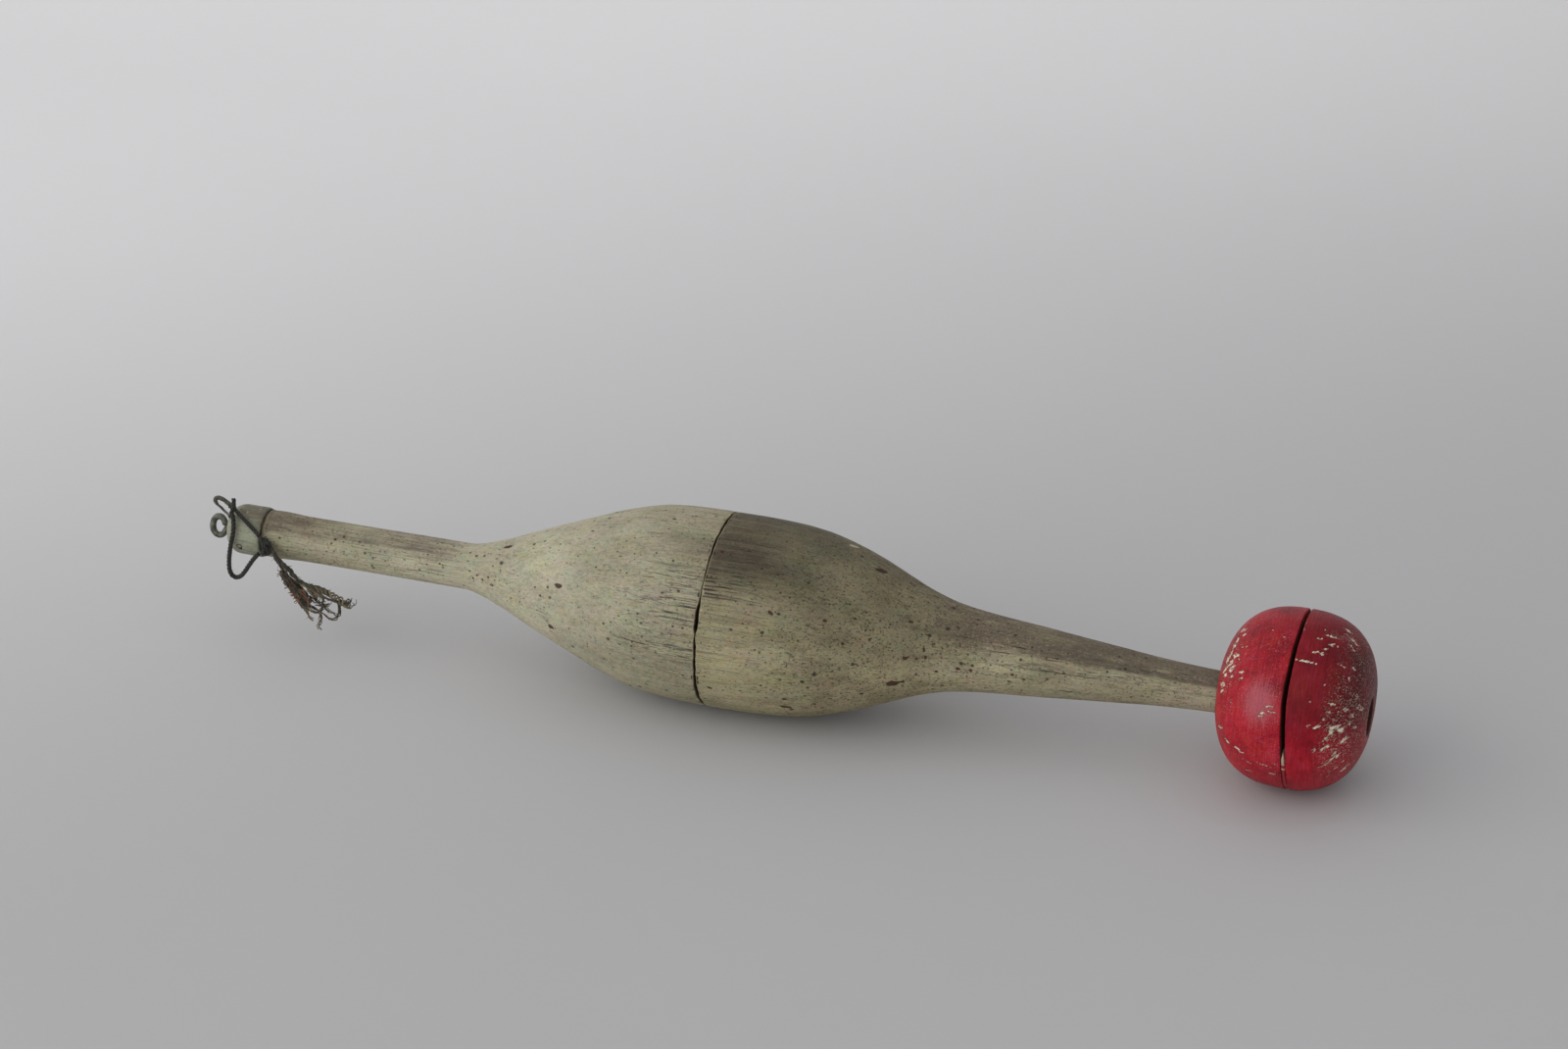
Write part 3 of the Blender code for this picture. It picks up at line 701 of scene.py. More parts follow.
def wire_material(name, low, high, rust):
    mat = Graph(name)
    place = mat.attr("sp", "Vector")
    cloud = mat.noise(place, scale=0.8, detail=5.0, rough=0.68)
    fine = mat.noise(place, scale=3.4, detail=4.0, rough=0.65)
    base = mat.layers(low, (cloud, 0.35, 0.68, 1.0, high), (fine, 0.56, 0.72, 0.5, rust),
                      (fine, 0.42, 0.30, 0.6, (0.030, 0.030, 0.026)))
    metal = mat.step(cloud, 0.40, 0.62, low=0.25, high=0.75)
    return mat.surface(base, 0.36 + fine * 0.35,
                       mat.bump(cloud + fine, distance=0.00010, strength=0.8), Metallic=metal)


def cord_material(name, low, high, warm):
    """Waxed or tarred cord; plies with a higher tint are warmer."""
    mat = Graph(name)
    place = mat.attr("sp", "Vector")
    cloud = mat.noise(place, scale=1.1, detail=4.0, rough=0.65)
    fine = mat.noise(place, scale=6.5, rough=0.65)
    base = mat.layers(low, (cloud, 0.35, 0.66, 1.0, high),
                      (mat.attr("tint"), 0.4, 1.0, 0.9, warm),
                      (fine, 0.55, 0.75, 0.40, scaled(high, 2.4, lift=0.01)),
                      (fine, 0.45, 0.28, 0.6, scaled(low, 0.4)))
    return mat.surface(base, 0.52 + fine * 0.3,
                       mat.bump(cloud + fine, distance=0.00009, strength=0.9),
                       Sheen_Weight=0.05)


def yarn_material():
    """Loose dry fibres, tinted from green-black through olive and straw to rust."""
    mat = Graph("frayed_yarn")
    place = mat.attr("sp", "Vector")
    cloud = mat.noise(place, scale=1.4, detail=4.0, rough=0.68)
    fine = mat.noise(place, scale=6.0, rough=0.65)
    tint = mat.ragged(mat.attr("tint"), (cloud, 0.45))
    base = mat.ramp(tint, (0.05, (0.012, 0.014, 0.009)), (0.26, (0.036, 0.032, 0.017)),
                    (0.42, (0.115, 0.092, 0.048)), (0.60, (0.270, 0.215, 0.130)),
                    (0.74, (0.180, 0.070, 0.038)), (0.95, (0.310, 0.105, 0.060)))
    base = mat.layers(base, (fine, 0.46, 0.28, 0.55, (0.025, 0.022, 0.014)),
                      (fine, 0.58, 0.75, 0.35, (0.28, 0.24, 0.15)))
    return mat.surface(base, 0.74, mat.bump(cloud + fine, distance=0.00009, strength=0.9),
                       Sheen_Weight=0.2)


PAINT = weathered("weathered_paint_worn", pale=(0.425, 0.382, 0.242),
                  mid=(0.300, 0.266, 0.163), dark=(0.172, 0.150, 0.094),
                  worn=(0.098, 0.070, 0.050))
CAP = weathered("cap_paint_worn", pale=(0.372, 0.392, 0.285), mid=(0.262, 0.275, 0.198),
                dark=(0.160, 0.162, 0.113), worn=(0.110, 0.082, 0.056))
RED = red_paint()
BARE = bare_wood()
FILL = filler_material()
EYE_WIRE = wire_material("grey_wire_eye", low=(0.050, 0.050, 0.040),
                         high=(0.200, 0.205, 0.165), rust=(0.100, 0.055, 0.030))
TIE_WIRE = wire_material("grey_wire_tie", low=(0.040, 0.038, 0.028),
                         high=(0.190, 0.180, 0.140), rust=(0.085, 0.045, 0.026))
CORD = cord_material("tarred_cord_twist", low=(0.0095, 0.0100, 0.0070),
                     high=(0.024, 0.023, 0.016), warm=(0.058, 0.030, 0.020))
THREAD = cord_material("tarred_thread", low=(0.018, 0.018, 0.013),
                       high=(0.045, 0.042, 0.028), warm=(0.060, 0.045, 0.028))
YARN = yarn_material()


# ------------------------------------------------------------------ turned surfaces
class Skin:
    """Displacement and wear over the grid of a turned surface."""

    def __init__(self, x, phi, radius, keys):
        ones = np.ones((len(x), len(phi)))
        self.x, self.phi, self.r = x[:, None] * ones, phi[None, :] * ones, radius[:, None] * ones
        turn = np.radians(self.phi)
        self.y, self.z = -self.r * np.cos(turn), self.r * np.sin(turn)
        self.out = np.zeros_like(ones)          # outward movement, mm
        self.wear = SimpleNamespace(**{key: np.zeros_like(ones) for key in keys.split()})

    def noise(self, seed, along, across=None, octaves=1):
        """Noise with cells so many mm along the shaft and across it."""
        across = across or along
        total, weight, sum_ = 0.0, 1.0, 0.0
        for k in range(octaves):
            total = total + weight * noise(self.x / along * 2**k, self.y / across * 2**k,
                                           self.z / across * 2**k, seed + 31 * k)
            sum_ += weight
            weight *= 0.5
        return total / sum_

    def rows(self, low, high):
        inside = np.nonzero((self.x[:, 0] > low) & (self.x[:, 0] < high))[0]
        return slice(inside[0], inside[-1] + 1) if len(inside) else None

    def arc(self, rows, phi):
        """Distance round the surface from the angle phi, mm."""
        return wrap(self.phi[rows] - phi) * math.pi / 180 * self.r[rows]

    def press(self, rows, mask, depth, key, amount):
        self.out[rows] -= depth * mask
        field = getattr(self.wear, key)
        field[rows] = np.maximum(field[rows], amount * mask)

    def pit(self, place, phi, length, width, depth, key, amount, turn=0.0, soft=0.45,
            ragged=0.35, seed=0, grain=1.3):
        """A worn patch of half length along and half width across, turned by turn degrees."""
        reach = max(length, width) * 1.9 + 0.6
        rows = self.rows(place - reach, place + reach)
        if rows is None:
            return
        along, across = self.x[rows] - place, self.arc(rows, phi)
        cos, sin = math.cos(math.radians(turn)), math.sin(math.radians(turn))
        turned = (along * cos + across * sin) / length, (-along * sin + across * cos) / width
        away = np.sqrt(turned[0] * turned[0] + turned[1] * turned[1])
        away = away + ragged * noise(self.x[rows] * grain, self.y[rows] * grain,
                                     self.z[rows] * grain, seed)
        self.press(rows, step(1 + soft, 1 - soft, away), depth, key, amount)

    def line(self, start, end, phi, drift, depth, width, key, amount, seed=0, fade=0.25,
             wobble=0.5):
        """A crack or groove from start to end. drift is degrees for each millimetre."""
        rows = self.rows(start, end)
        if rows is None:
            return
        x = self.x[rows]
        stray = wobble * noise(x * 0.16, seed * 1.7, 0.5, seed) * 180 / math.pi
        path = phi + drift * (x - start) + stray / np.maximum(self.r[rows], 3)
        share = (x - start) / (end - start)
        strength = step(0, fade, share) * step(1, 1 - fade, share)
        strength = strength * (0.72 + 0.45 * noise(x * 0.35, seed * 2.3, 1.5, seed + 5))
        mask = np.exp(-(self.arc(rows, path) / width) ** 2) * np.clip(strength, 0, 1.1)
        self.press(rows, mask, depth, key, amount)

    def reverse(self):
        """Turns the rows end for end."""
        self.out = self.out[::-1]
        for key, field in vars(self.wear).items():
            setattr(self.wear, key, field[::-1])


def lathe(piece, before, outer, after, skin, body, material, closed=True,
          centre=(0.0, 0.0), adjust=None, seam=None):
    """A turned solid from rows all round its section, of which outer takes the skin.

    A row is (x, radius, inside, share): inside is how much bare inside shows, and share is
    how far the row is turned round centre, 1 unless given, and not round the shaft.
    """
    rows = [row if len(row) > 3 else (*row, 1.0) for row in before + outer + after]
    skinned = slice(len(before), len(before) + len(outer))
    row_x, row_r, inside, share = np.array(rows, float).T
    phi = skin.phi[0]
    slope_x, slope_r = np.gradient(row_x), np.gradient(row_r)
    length = np.hypot(slope_x, slope_r) + 1e-12
    out_x, out_r = -slope_r / length, slope_x / length
    if np.sum(out_r[skinned]) < 0:
        out_x, out_r = -out_x, -out_r
    count, sides = len(rows), len(phi)
    ones = np.ones((count, sides))
    moved = np.zeros((count, sides))
    moved[skinned] = skin.out
    x = row_x[:, None] * ones + out_x[:, None] * moved
    radius = row_r[:, None] * ones + out_r[:, None] * moved
    if seam is not None:
        x = x + seam(row_x, row_r, phi)
    turn = np.radians(phi)[None, :]
    y = share[:, None] * centre[0] - radius * np.cos(turn)
    z = share[:, None] * centre[1] + radius * np.sin(turn)
    points = np.stack([x, y, z], -1).reshape(-1, 3)
    faces = grid_faces(count, sides)
    attrs = {}
    for key, field in vars(skin.wear).items():
        attrs[key] = np.zeros((count, sides))
        attrs[key][skinned] = field
    attrs["inside"] = inside[:, None] * ones
    if adjust:
        adjust(x, y, z, attrs)
    attrs = {key: values.ravel() for key, values in attrs.items()}
    last = (count - 1) * sides
    if closed:
        faces += join_rings(last, 0, sides)
    else:
        faces += end_fans(0, last, sides, len(points))
        middles = [(row_x[k], share[k] * centre[0], share[k] * centre[1]) for k in (0, -1)]
        points = np.vstack([points, middles])
        attrs = {key: np.concatenate([values, [values[0], values[-1]]])
                 for key, values in attrs.items()}
    return add_piece(piece + "_worn", points, faces, body, piece, material, attrs,
                     sharp=40)


def run(start, end, spacing):
    return np.linspace(start, end, max(2, int(round(abs(end - start) / spacing)) + 1))


# ------------------------------------------------------------------ both halves of the shaft
PHI = spaced_angles(400)
SHAFT_KEYS = "spot groove cream dark light pores lines coarse lit cool"
# angle, opening of the butt joint
JOINT_OPENING = (
    (-180, 0.30), (-140, 0.52), (-110, 0.36), (-80, 0.30), (-62, 0.40), (-40, 0.50),
    (-20, 0.46), (-5, 0.40), (6, 0.46), (10.5, 0.30), (12.5, 0.16), (14.5, 0.42), (17, 0.80),
    (24, 0.86), (30, 0.66), (34, 0.34), (38, 0.14), (46, 0.18), (60, 0.34), (85, 0.50),
    (110, 0.44), (135, 0.22), (160, 0.20), (180, 0.30))
# place along, lightness added underneath: painted light on the shaft's underside
UNDERSIDE_PAINTED_LIGHT = ((20, 0), (28, 0.15), (75, 0.15), (88, 0), (116, 0), (125, 0.12), (165, 0.12),
             (185, 0), (225, 0), (240, 0.12), (261, 0.16))


def joint_gap(phi):
    """Half the opening of the butt joint, and how far its middle wanders, at angles phi."""
    phi = wrap(phi)
    width = look_up(JOINT_OPENING, phi) * (1 + 0.32 * band(phi, -100, -70, 6, 11))
    width = width * (1 + 0.22 * ring_noise(phi, 9, 0.3, 11)) + 0.09 * ring_noise(phi, 30, 0.3, 12)
    middle = 0.26 * ring_noise(phi, 2.4, 4.3, 13) + 0.12 * ring_noise(phi, 11, 2.2, 14)
    return np.clip(width, 0.06, 1.1) / 2, middle


def seam_shift(direction, face):
    """Moves a half's joint face along x so that the joint opens, closes and wanders."""
    def shift(row_x, row_r, phi):
        half, middle = joint_gap(phi)
        move = SEAM + middle + direction * half - face
        near = step(2.6, 0, np.abs(row_x - face)) * step(9.0, 14.0, row_r)
        return near[:, None] * move[None, :]
    return shift


def add_lines(skin, rows, key, first_seed, **more):
    """Rows of start, end, angle, drift, depth, width, amount."""
    for k, (start, end, phi, drift, depth, width, amount) in enumerate(rows):
        skin.line(start, end, phi, drift, depth, width, key, amount, seed=first_seed + k, **more)


def shaft_wear(skin, seed):
    """Turning, grain, dents, pits and cracks all the way round."""
    x, y, z, wear = skin.x, skin.y, skin.z, skin.wear
    body = step(57, 70, x) * step(178, 160, x)
    skin.out += 0.10 * skin.noise(1, 24, 14) + 0.045 * skin.noise(2, 7, 5)
    skin.out += 0.022 * skin.noise(3, 1.9, 1.1, octaves=2)
    # raised grain: threads that run along the wood
    thread = 1 - np.abs(skin.noise(4, 42, 0.85))
    thread = step(0.80, 1.0, thread) * step(-0.25, 0.45, skin.noise(5, 20, 5))
    skin.out -= 0.050 * thread * (0.45 + 0.55 * body)
    shown = step(0.1, 0.8, skin.noise(6, 26, 7))
    wear.groove = np.maximum(wear.groove, 0.42 * thread * shown)
    # growth rings round a heart that lies off the axis
    rings = np.hypot(y - 33, z + 24) / 1.55 + 0.35 * skin.noise(7, 30, 9)
    skin.out += 0.016 * np.sin(rings * 2 * math.pi) * body
    rng = np.random.RandomState(seed)
    low, high = x[:, 0].min(), x[:, 0].max()
    for k in range(46):
        place, phi = rng.uniform(low + 1, high - 1), rng.uniform(-180, 180)
        # the rows may run either way; interpolation takes them as they stand
        if rng.rand() > float(np.interp(place, x[:, 0], skin.r[:, 0])) / 18:
            continue
        size = rng.uniform(0.22, 0.40)
        skin.pit(place, phi, size * rng.uniform(0.9, 2.0), size, rng.uniform(0.05, 0.14),
                 "spot", rng.uniform(0.40, 0.85), turn=rng.uniform(-30, 30), seed=k)
    for k in range(46):
        place, phi = rng.uniform(low, high), rng.uniform(-180, 180)
        length = rng.uniform(6, 26)
        skin.line(place, place + length, phi, rng.uniform(-0.05, 0.05),
                  rng.uniform(0.03, 0.08), rng.uniform(0.14, 0.24), "groove",
                  rng.uniform(0.35, 0.8), seed=k + 300)
    for k in range(14):
        place, phi = rng.uniform(low, high), rng.uniform(-180, 180)
        length = rng.uniform(4, 12)
        skin.line(place, place + length, phi, rng.uniform(-0.08, 0.08), 0.03, 0.18, "cream",
                  rng.uniform(0.3, 0.55), seed=k + 700)


def edge_chips(skin, face, inward, seed):
    """Paint broken away in short lengths along a joint's edge."""
    rng = np.random.RandomState(seed)
    for k in range(90):
        phi = rng.uniform(-180, 180)
        size = rng.uniform(0.18, 0.5)
        skin.pit(face + inward * rng.uniform(0.0, 0.35), phi, size * rng.uniform(0.7, 1.0),
                 size * rng.uniform(0.8, 2.2), rng.uniform(0.05, 0.16),
                 "cream" if rng.rand() < 0.35 else "groove", rng.uniform(0.5, 1.0), seed=k,
                 ragged=0.5)


def shaft_skin(stations, x, lit, cool, face, inward, seed):
    """A half's skin with the wear both halves share. lit (painted light and shade, partly paint
    tone) and cool: (place along, value).
    """
    skin = Skin(x, PHI, smooth_radius(stations, x), SHAFT_KEYS)
    skin.wear.lit = look_up(lit, skin.x)
    # painted light on the underside
    skin.wear.lit += look_up(UNDERSIDE_PAINTED_LIGHT, skin.x) * band(skin.phi, -100, -70, -15, 28)
    skin.wear.cool = look_up(cool, skin.x)
    shaft_wear(skin, seed)
    edge_chips(skin, face, inward, seed - 16)
    return skin


def outer_rows(skin):
    return [(x, radius, 0.0) for x, radius in zip(skin.x[:, 0], skin.r[:, 0])]


def joint_edge(face, inward):
    """Rows over a half's joint face, from its middle out and round its edge."""
    flat = [(face, 9.0, 1.0), (face, 14.0, 1.0), (face, 17.0, 1.0), (face, 19.5, 1.0),
            (face, 21.2, 1.0), (face, 21.85, 0.8)]
    return flat + [(face + inward * 0.04, 22.05, 0.25), (face + inward * 0.12, 22.15, 0.0)]


# ------------------------------------------------------------------ shaft, upper half
# painted light and shade along the upper half, partly paint tone: place along, lightness added
UPPER_LIT = ((8, -0.01), (18, 0.02), (27, 0.13), (36, 0.22), (45, 0.34), (57, 0.29),
             (70, 0.22), (78, 0.30), (88, 0.20), (104, 0.12), (118, -0.02))
UPPER_COOL = ((8, 0.20), (45, 0.60), (84, 0.75), (118, 0.30))
# place along, angle, half length, half width
UPPER_SPOTS = (
    (83.7, 27, 0.9, 0.5), (81.9, -16, 0.8, 0.55), (67.8, 75, 0.9, 0.5), (61.5, 14, 0.35, 0.3),
    (63.0, 8, 0.4, 0.3), (60.4, 5, 0.3, 0.25), (64.4, 17, 0.35, 0.25), (59.6, 20, 0.3, 0.25))


def upper_marks(skin):
    # fine dark threads that carry on over the joint from the other half: angle, strength
    threads = ((36.5, 0.5), (39.0, 0.7), (41.5, 0.8), (44.0, 0.8), (46.5, 0.6), (49.0, 0.5))
    add_lines(skin, [(104 - 3 * (k % 2), 118.2, phi - 2, 0.10, 0.10 * much, 0.22, 0.9 * much)
                     for k, (phi, much) in enumerate(threads)], "groove", 40)
    # angle, start, end
    grooves = ((21, 104, 117.5), (25, 108, 118), (28.5, 101, 117), (8, 106, 117),
               (-4, 110, 118), (15, 98, 112))
    add_lines(skin, [(start, end, phi, 0.03, 0.05, 0.20, 0.45)
                     for phi, start, end in grooves], "groove", 60)
    scratches = ((23, 103, 118), (18, 107, 118), (31, 106, 117.5))
    add_lines(skin, [(start, end, phi, 0.03, 0.02, 0.28, 0.55)
                     for phi, start, end in scratches], "cream", 80)
    for place, phi, length, width in UPPER_SPOTS:
        skin.pit(place, phi, length, width, 0.18, "spot", 1.0, seed=int(place * 7) % 97)
    # a short crack with a pale lifted lip on the stem
    skin.line(48.8, 53.6, 3.0, 0.2, 0.22, 0.24, "groove", 1.0, seed=90, fade=0.3)
    skin.line(49.4, 53.2, -1.5, 0.2, -0.05, 0.26, "cream", 1.0, seed=91, fade=0.3)


def upper_tones(skin):
    """Brown upper side of the stem, paler towards the body, worn lines near the joint."""
    x, phi, wear = skin.x, skin.phi, skin.wear
    wear.lines += 0.85 * step(92, 115, x) * band(phi, -16, 4, 44, 58)
    wear.lines += 0.40 * step(80, 114, x) * band(phi, -70, -40, 70, 120)
    wear.lines += 0.60 * band(x, 20, 30, 44, 60) * band(phi, -14, 0, 60, 90)
    stem = 1 - step(48, 74, x)
    wear.coarse += 0.32 + 0.45 * step(96, 118, x) + 0.40 * step(60, 44, x)
    wear.dark += stem * (0.46 * band(phi, 12, 46, 130, 175) + 0.14)
    wear.dark += stem * 0.16 * band(x, 8, 12, 17, 27) * band(phi, -28, -14, 2, 12)
    wear.dark += stem * 0.25 * band(x, 9, 13, 17, 22) * band(phi, 35, 50, 80, 100)
    wear.dark += 0.12 * skin.noise(15, 9, 2.4) * stem
    wear.dark += ((0.15 + 0.18 * skin.noise(48, 3.5, 1.3)) * step(33, 14, x)
                  * band(phi, 22, 48, 130, 165))
    wear.dark += 0.40 * step(30, 70, phi) * step(170, 120, phi) * step(96, 116, x)
    wear.dark += 0.18 * skin.noise(16, 16, 8)
    wear.light += 0.28 * band(x, 55, 62, 84, 104)
    wear.light += 0.26 * step(24, 46, x) * stem * band(phi, -60, -40, 5, 22)
    wear.pores += 0.42 + 0.35 * band(x, 56, 60, 72, 90) * band(phi, -60, -10, 40, 80)
    wear.pores += 0.2 * skin.noise(17, 8, 6)
    # painted shade at the start of the stem, beside the cap
    wear.lit -= 0.34 * step(10.2, 9.0, x)


def build_upper():
    face = UPPER_FACE
    x = np.concatenate([run(face - 0.25, face - 2.2, 0.22), run(face - 2.6, NECK, 0.50),
                        run(NECK - 0.6, STEM_START + 0.5, 0.75)])
    skin = shaft_skin(UPPER_STATIONS, x, UPPER_LIT, UPPER_COOL, face, -1, seed=21)
    upper_marks(skin)
    upper_tones(skin)
    bore, socket = DOWEL_R + GAP, SPIGOT_R + GAP
    before = [(face - DOWEL_HALF, bore, 1.0), (face - 10, bore, 1.0), (face, bore, 1.0)]
    after = [(STEM_START + 0.1, 5.45, 0.74), (STEM_START - 0.24, 5.42, 0.86),
             (STEM_START - 0.36, 5.30, 0.95), (STEM_START - 0.40, 5.05, 0.9),
             (STEM_START - 0.40, socket, 1.0), (SPIGOT_END + GAP, socket, 1.0),
             (SPIGOT_END + GAP, WIRE_BORE_R, 1.0), (WIRE_BORE_END, WIRE_BORE_R, 1.0)]
    lathe("upper_shaft", before + joint_edge(face, -1), outer_rows(skin), after, skin,
          "spindle", PAINT, closed=False, seam=seam_shift(-1, face))


# ------------------------------------------------------------------ shaft, lower half
# painted light and shade along the lower half, partly paint tone: place along, lightness added
LOWER_LIT = ((118.7, -0.12), (147, -0.20), (160, -0.16), (183, 0.11), (192, 0.05),
             (201, -0.02), (217, -0.10), (230, 0.06), (240, 0.06), (252, 0.19), (261, 0.22))
LOWER_COOL = ((118.7, -0.2), (160, -0.4), (183, 0.0), (222, 0.15), (242, 0.45), (261, 0.6))
# place along, angle, half length, half width, turn, depth
LOWER_SPOTS = (
    (161.7, -17.9, 1.35, 0.85, -10, 0.28), (163.9, -17.2, 0.5, 0.35, 0, 0.2),
    (155.1, 91.7, 1.3, 0.8, 25, 0.25), (134.6, 33.2, 0.7, 0.4, -25, 0.16),
    (138.5, -34.0, 1.3, 0.45, -12, 0.18), (121.6, -22.9, 0.55, 0.35, -20, 0.18),
    (138.7, -24.8, 0.55, 0.42, 0, 0.2), (164.2, 11.9, 0.45, 0.4, 0, 0.2),
    (175.5, 2.2, 0.5, 0.42, 0, 0.2), (164.2, 49.8, 0.42, 0.36, 0, 0.18),
    (156.5, 26.0, 0.32, 0.28, 0, 0.15), (151.0, 20.5, 0.36, 0.32, 0, 0.16),
    (146.6, 34.5, 0.4, 0.42, 0, 0.15), (171.0, -4.0, 0.36, 0.3, 0, 0.15),
    (178.5, 1.5, 0.45, 0.4, 0, 0.18), (187.5, 3.0, 0.5, 0.34, 0, 0.16),
    (190.5, -3.0, 0.34, 0.3, 0, 0.14), (145.0, -31.0, 0.5, 0.3, 0, 0.14),
    (129.0, -21.0, 0.3, 0.26, 0, 0.12), (168.0, 22.0, 0.34, 0.4, 0, 0.15),
    (168.6, 14.0, 0.34, 0.42, 0, 0.15))


def lower_marks(skin):
    # strong dark grooves that run back from the joint: angle, end, strength, width
    strong = ((50.0, 146, 1.0, 0.36), (47.4, 141, 0.9, 0.26), (45.2, 147, 0.8, 0.24),
              (42.8, 143, 0.9, 0.26), (40.4, 146, 1.0, 0.34), (38.2, 136, 0.9, 0.26),
              (36.0, 139, 0.8, 0.24), (33.5, 133, 0.6, 0.22))
    add_lines(skin, [(90.0, end + 4, phi - 2.8, 0.10, 0.22 * much, 0.85 * width,
                      min(1.0, 0.45 + 0.7 * much)) for phi, end, much, width in strong],
              "groove", 20, fade=0.5, wobble=0.16)
    # angle, start, end
    grooves = ((54, 121, 139), (58, 119.5, 134), (63, 122, 143), (68, 119.5, 132),
               (74, 121, 138), (80, 124, 140), (61, 130, 150))
    add_lines(skin, [(start, end, phi, 0.16, 0.06, 0.20, 0.7) for phi, start, end in grooves],
              "groove", 120)
    scratches = ((43.9, 119, 128), (39.3, 119, 133), (34.8, 119, 129), (30.6, 120, 130),
                 (26.0, 119, 131))
    add_lines(skin, [(start, end, phi, 0.10, -0.02, 0.20, 0.42)
                     for phi, start, end in scratches], "cream", 140, wobble=0.2)
    for place, phi, length, width, turn, depth in LOWER_SPOTS:
        skin.pit(place, phi, length, width, depth, "spot", 1.0, turn=turn,
                 seed=int(place * 11) % 89, ragged=0.3)
    skin.pit(147.1, 106.7, 1.3, 0.55, 0.12, "cream", 1.0, turn=35, seed=3)
    # pale scratches with a groove beside each: angle, start, end, strength
    pairs = ((44, 181, 192, 0.5), (38, 184, 199, 0.6), (33, 190, 204, 0.5),
             (28, 205, 217, 0.45), (22, 216, 226, 0.8), (18, 220, 229, 0.7),
             (31, 176, 187, 0.4), (13, 226, 232, 0.5))
    add_lines(skin, [(start, end, phi, 0.0, 0.02, 0.17, much)
                     for phi, start, end, much in pairs], "cream", 160, wobble=0.25)
    add_lines(skin, [(start + 1, end + 2, phi + 3.6, 0.0, 0.06, 0.18, 0.75)
                     for phi, start, end, _ in pairs], "groove", 180, wobble=0.25)


def lower_tones(skin):
    x, phi, wear = skin.x, skin.phi, skin.wear
    wear.lines += (1.0 * step(151, 124, x) * band(phi, 26, 37, 50, 58)
                   * (0.6 + 0.4 * step(138, 121, x)))
    wear.lines += 0.75 * step(150, 120, x) * band(phi, 50, 58, 100, 150)
    wear.lines += 0.50 * step(142, 120, x) * band(phi, -40, 0, 24, 34)
    wear.lines += 0.70 * band(x, 168, 182, 225, 250) * band(phi, 10, 18, 60, 90)
    stem = step(160, 184, x)
    wear.coarse += 0.70 + 0.40 * band(x, 130, 146, 178, 200) + 0.22 * step(202, 224, x)
    # the upper side darker: grime, partly painted shade
    upper_side = band(phi, 28, 48, 140, 178)
    wear.dark += stem * upper_side * 0.98
    wear.dark += 0.36 * step(146, 168, x) * upper_side * (1 - stem)
    # painted shadow and grime: the top near the joint darker
    wear.dark += 0.55 * band(phi, 40, 60, 150, 200) * step(162, 126, x)
    wear.dark += 0.28 * band(phi, 10, 38, 60, 80) * step(160, 126, x)
    wear.dark += 0.16 * band(x, 140, 156, 186, 200)
    wear.dark += 0.35 * step(228, 244, x) * step(-10, 30, phi) * step(178, 140, phi)
    wear.dark += 0.20 * skin.noise(18, 12, 5) + 0.08
    wear.dark += 0.30 * stem * skin.noise(49, 5.5, 1.5) * band(phi, -30, 0, 120, 160)
    wear.dark -= 0.22 * band(phi, 38, 52, 70, 88) * band(x, 128, 137, 147, 158)
    wear.light += 0.34 * stem * band(phi, -50, -30, 14, 34)
    wear.light += 0.16 * band(x, 117, 120, 140, 156) * band(phi, -45, -25, 10, 28)
    wear.light += 0.30 * step(236, 256, x) * band(phi, -60, -35, 20, 48)
    wear.light += 0.22 * band(x, 214, 220, 228, 236) * band(phi, 0, 8, 26, 36)
    wear.pores += 0.30 + 0.62 * band(x, 134, 146, 182, 198) + 0.2 * skin.noise(19, 8, 6)
    # painted light and shade, partly paint tone: lightness added, its band of angles, its band
    # along
    for amount, angles, places in (
            (-0.16, (0, 26, 150, 190), (130, 145, 165, 178)),
            (-0.20, (34, 52, 150, 190), (118, 120, 140, 160)),
            (-0.10, (-8, 16, 50, 72), (154, 165, 174, 186)),
            (0.05, (38, 52, 70, 88), (128, 137, 147, 158)),
            (0.13, (-50, -25, 8, 24), (117, 121, 134, 142)),
            (0.18, (2, 12, 44, 58), (176, 181, 186, 192))):
        wear.lit += amount * band(phi, *angles) * band(x, *places)
    # painted shadow on the top near the joint
    wear.lit -= 0.15 * band(phi, 26, 50, 150, 190) * step(152, 128, x)


def build_lower():
    face = LOWER_FACE
    x = np.concatenate([run(face + 0.25, face + 2.2, 0.22), run(face + 2.6, 181.0, 0.50),
                        run(181.8, SHAFT_END - 0.55, 0.85)])
    skin = shaft_skin(LOWER_STATIONS, x, LOWER_LIT, LOWER_COOL, face, 1, seed=22)
    lower_marks(skin)
    lower_tones(skin)
    end_r = float(smooth_radius(LOWER_STATIONS, SHAFT_END - 0.5))
    before = [(SHAFT_END, 0.6, 1.0), (SHAFT_END, 1.8, 1.0), (SHAFT_END, 2.9, 1.0),
              (SHAFT_END - 0.08, end_r - 0.35, 0.8), (SHAFT_END - 0.3, end_r - 0.08, 0.3)]
    bore = DOWEL_R + GAP
    after = joint_edge(face, 1)[::-1]
    after += [(face, bore, 1.0), (face + 10, bore, 1.0), (face + DOWEL_HALF, bore, 1.0)]
    outer = outer_rows(skin)[::-1]
    skin.reverse()
    lathe("lower_shaft", before, outer, after, skin, "spindle", PAINT,
          closed=False, seam=seam_shift(1, face))


def dress_dowel():
    dowel = frame["nodes"]["center_dowel"]
    dowel.data.materials.clear()
    dowel.data.materials.append(BARE)


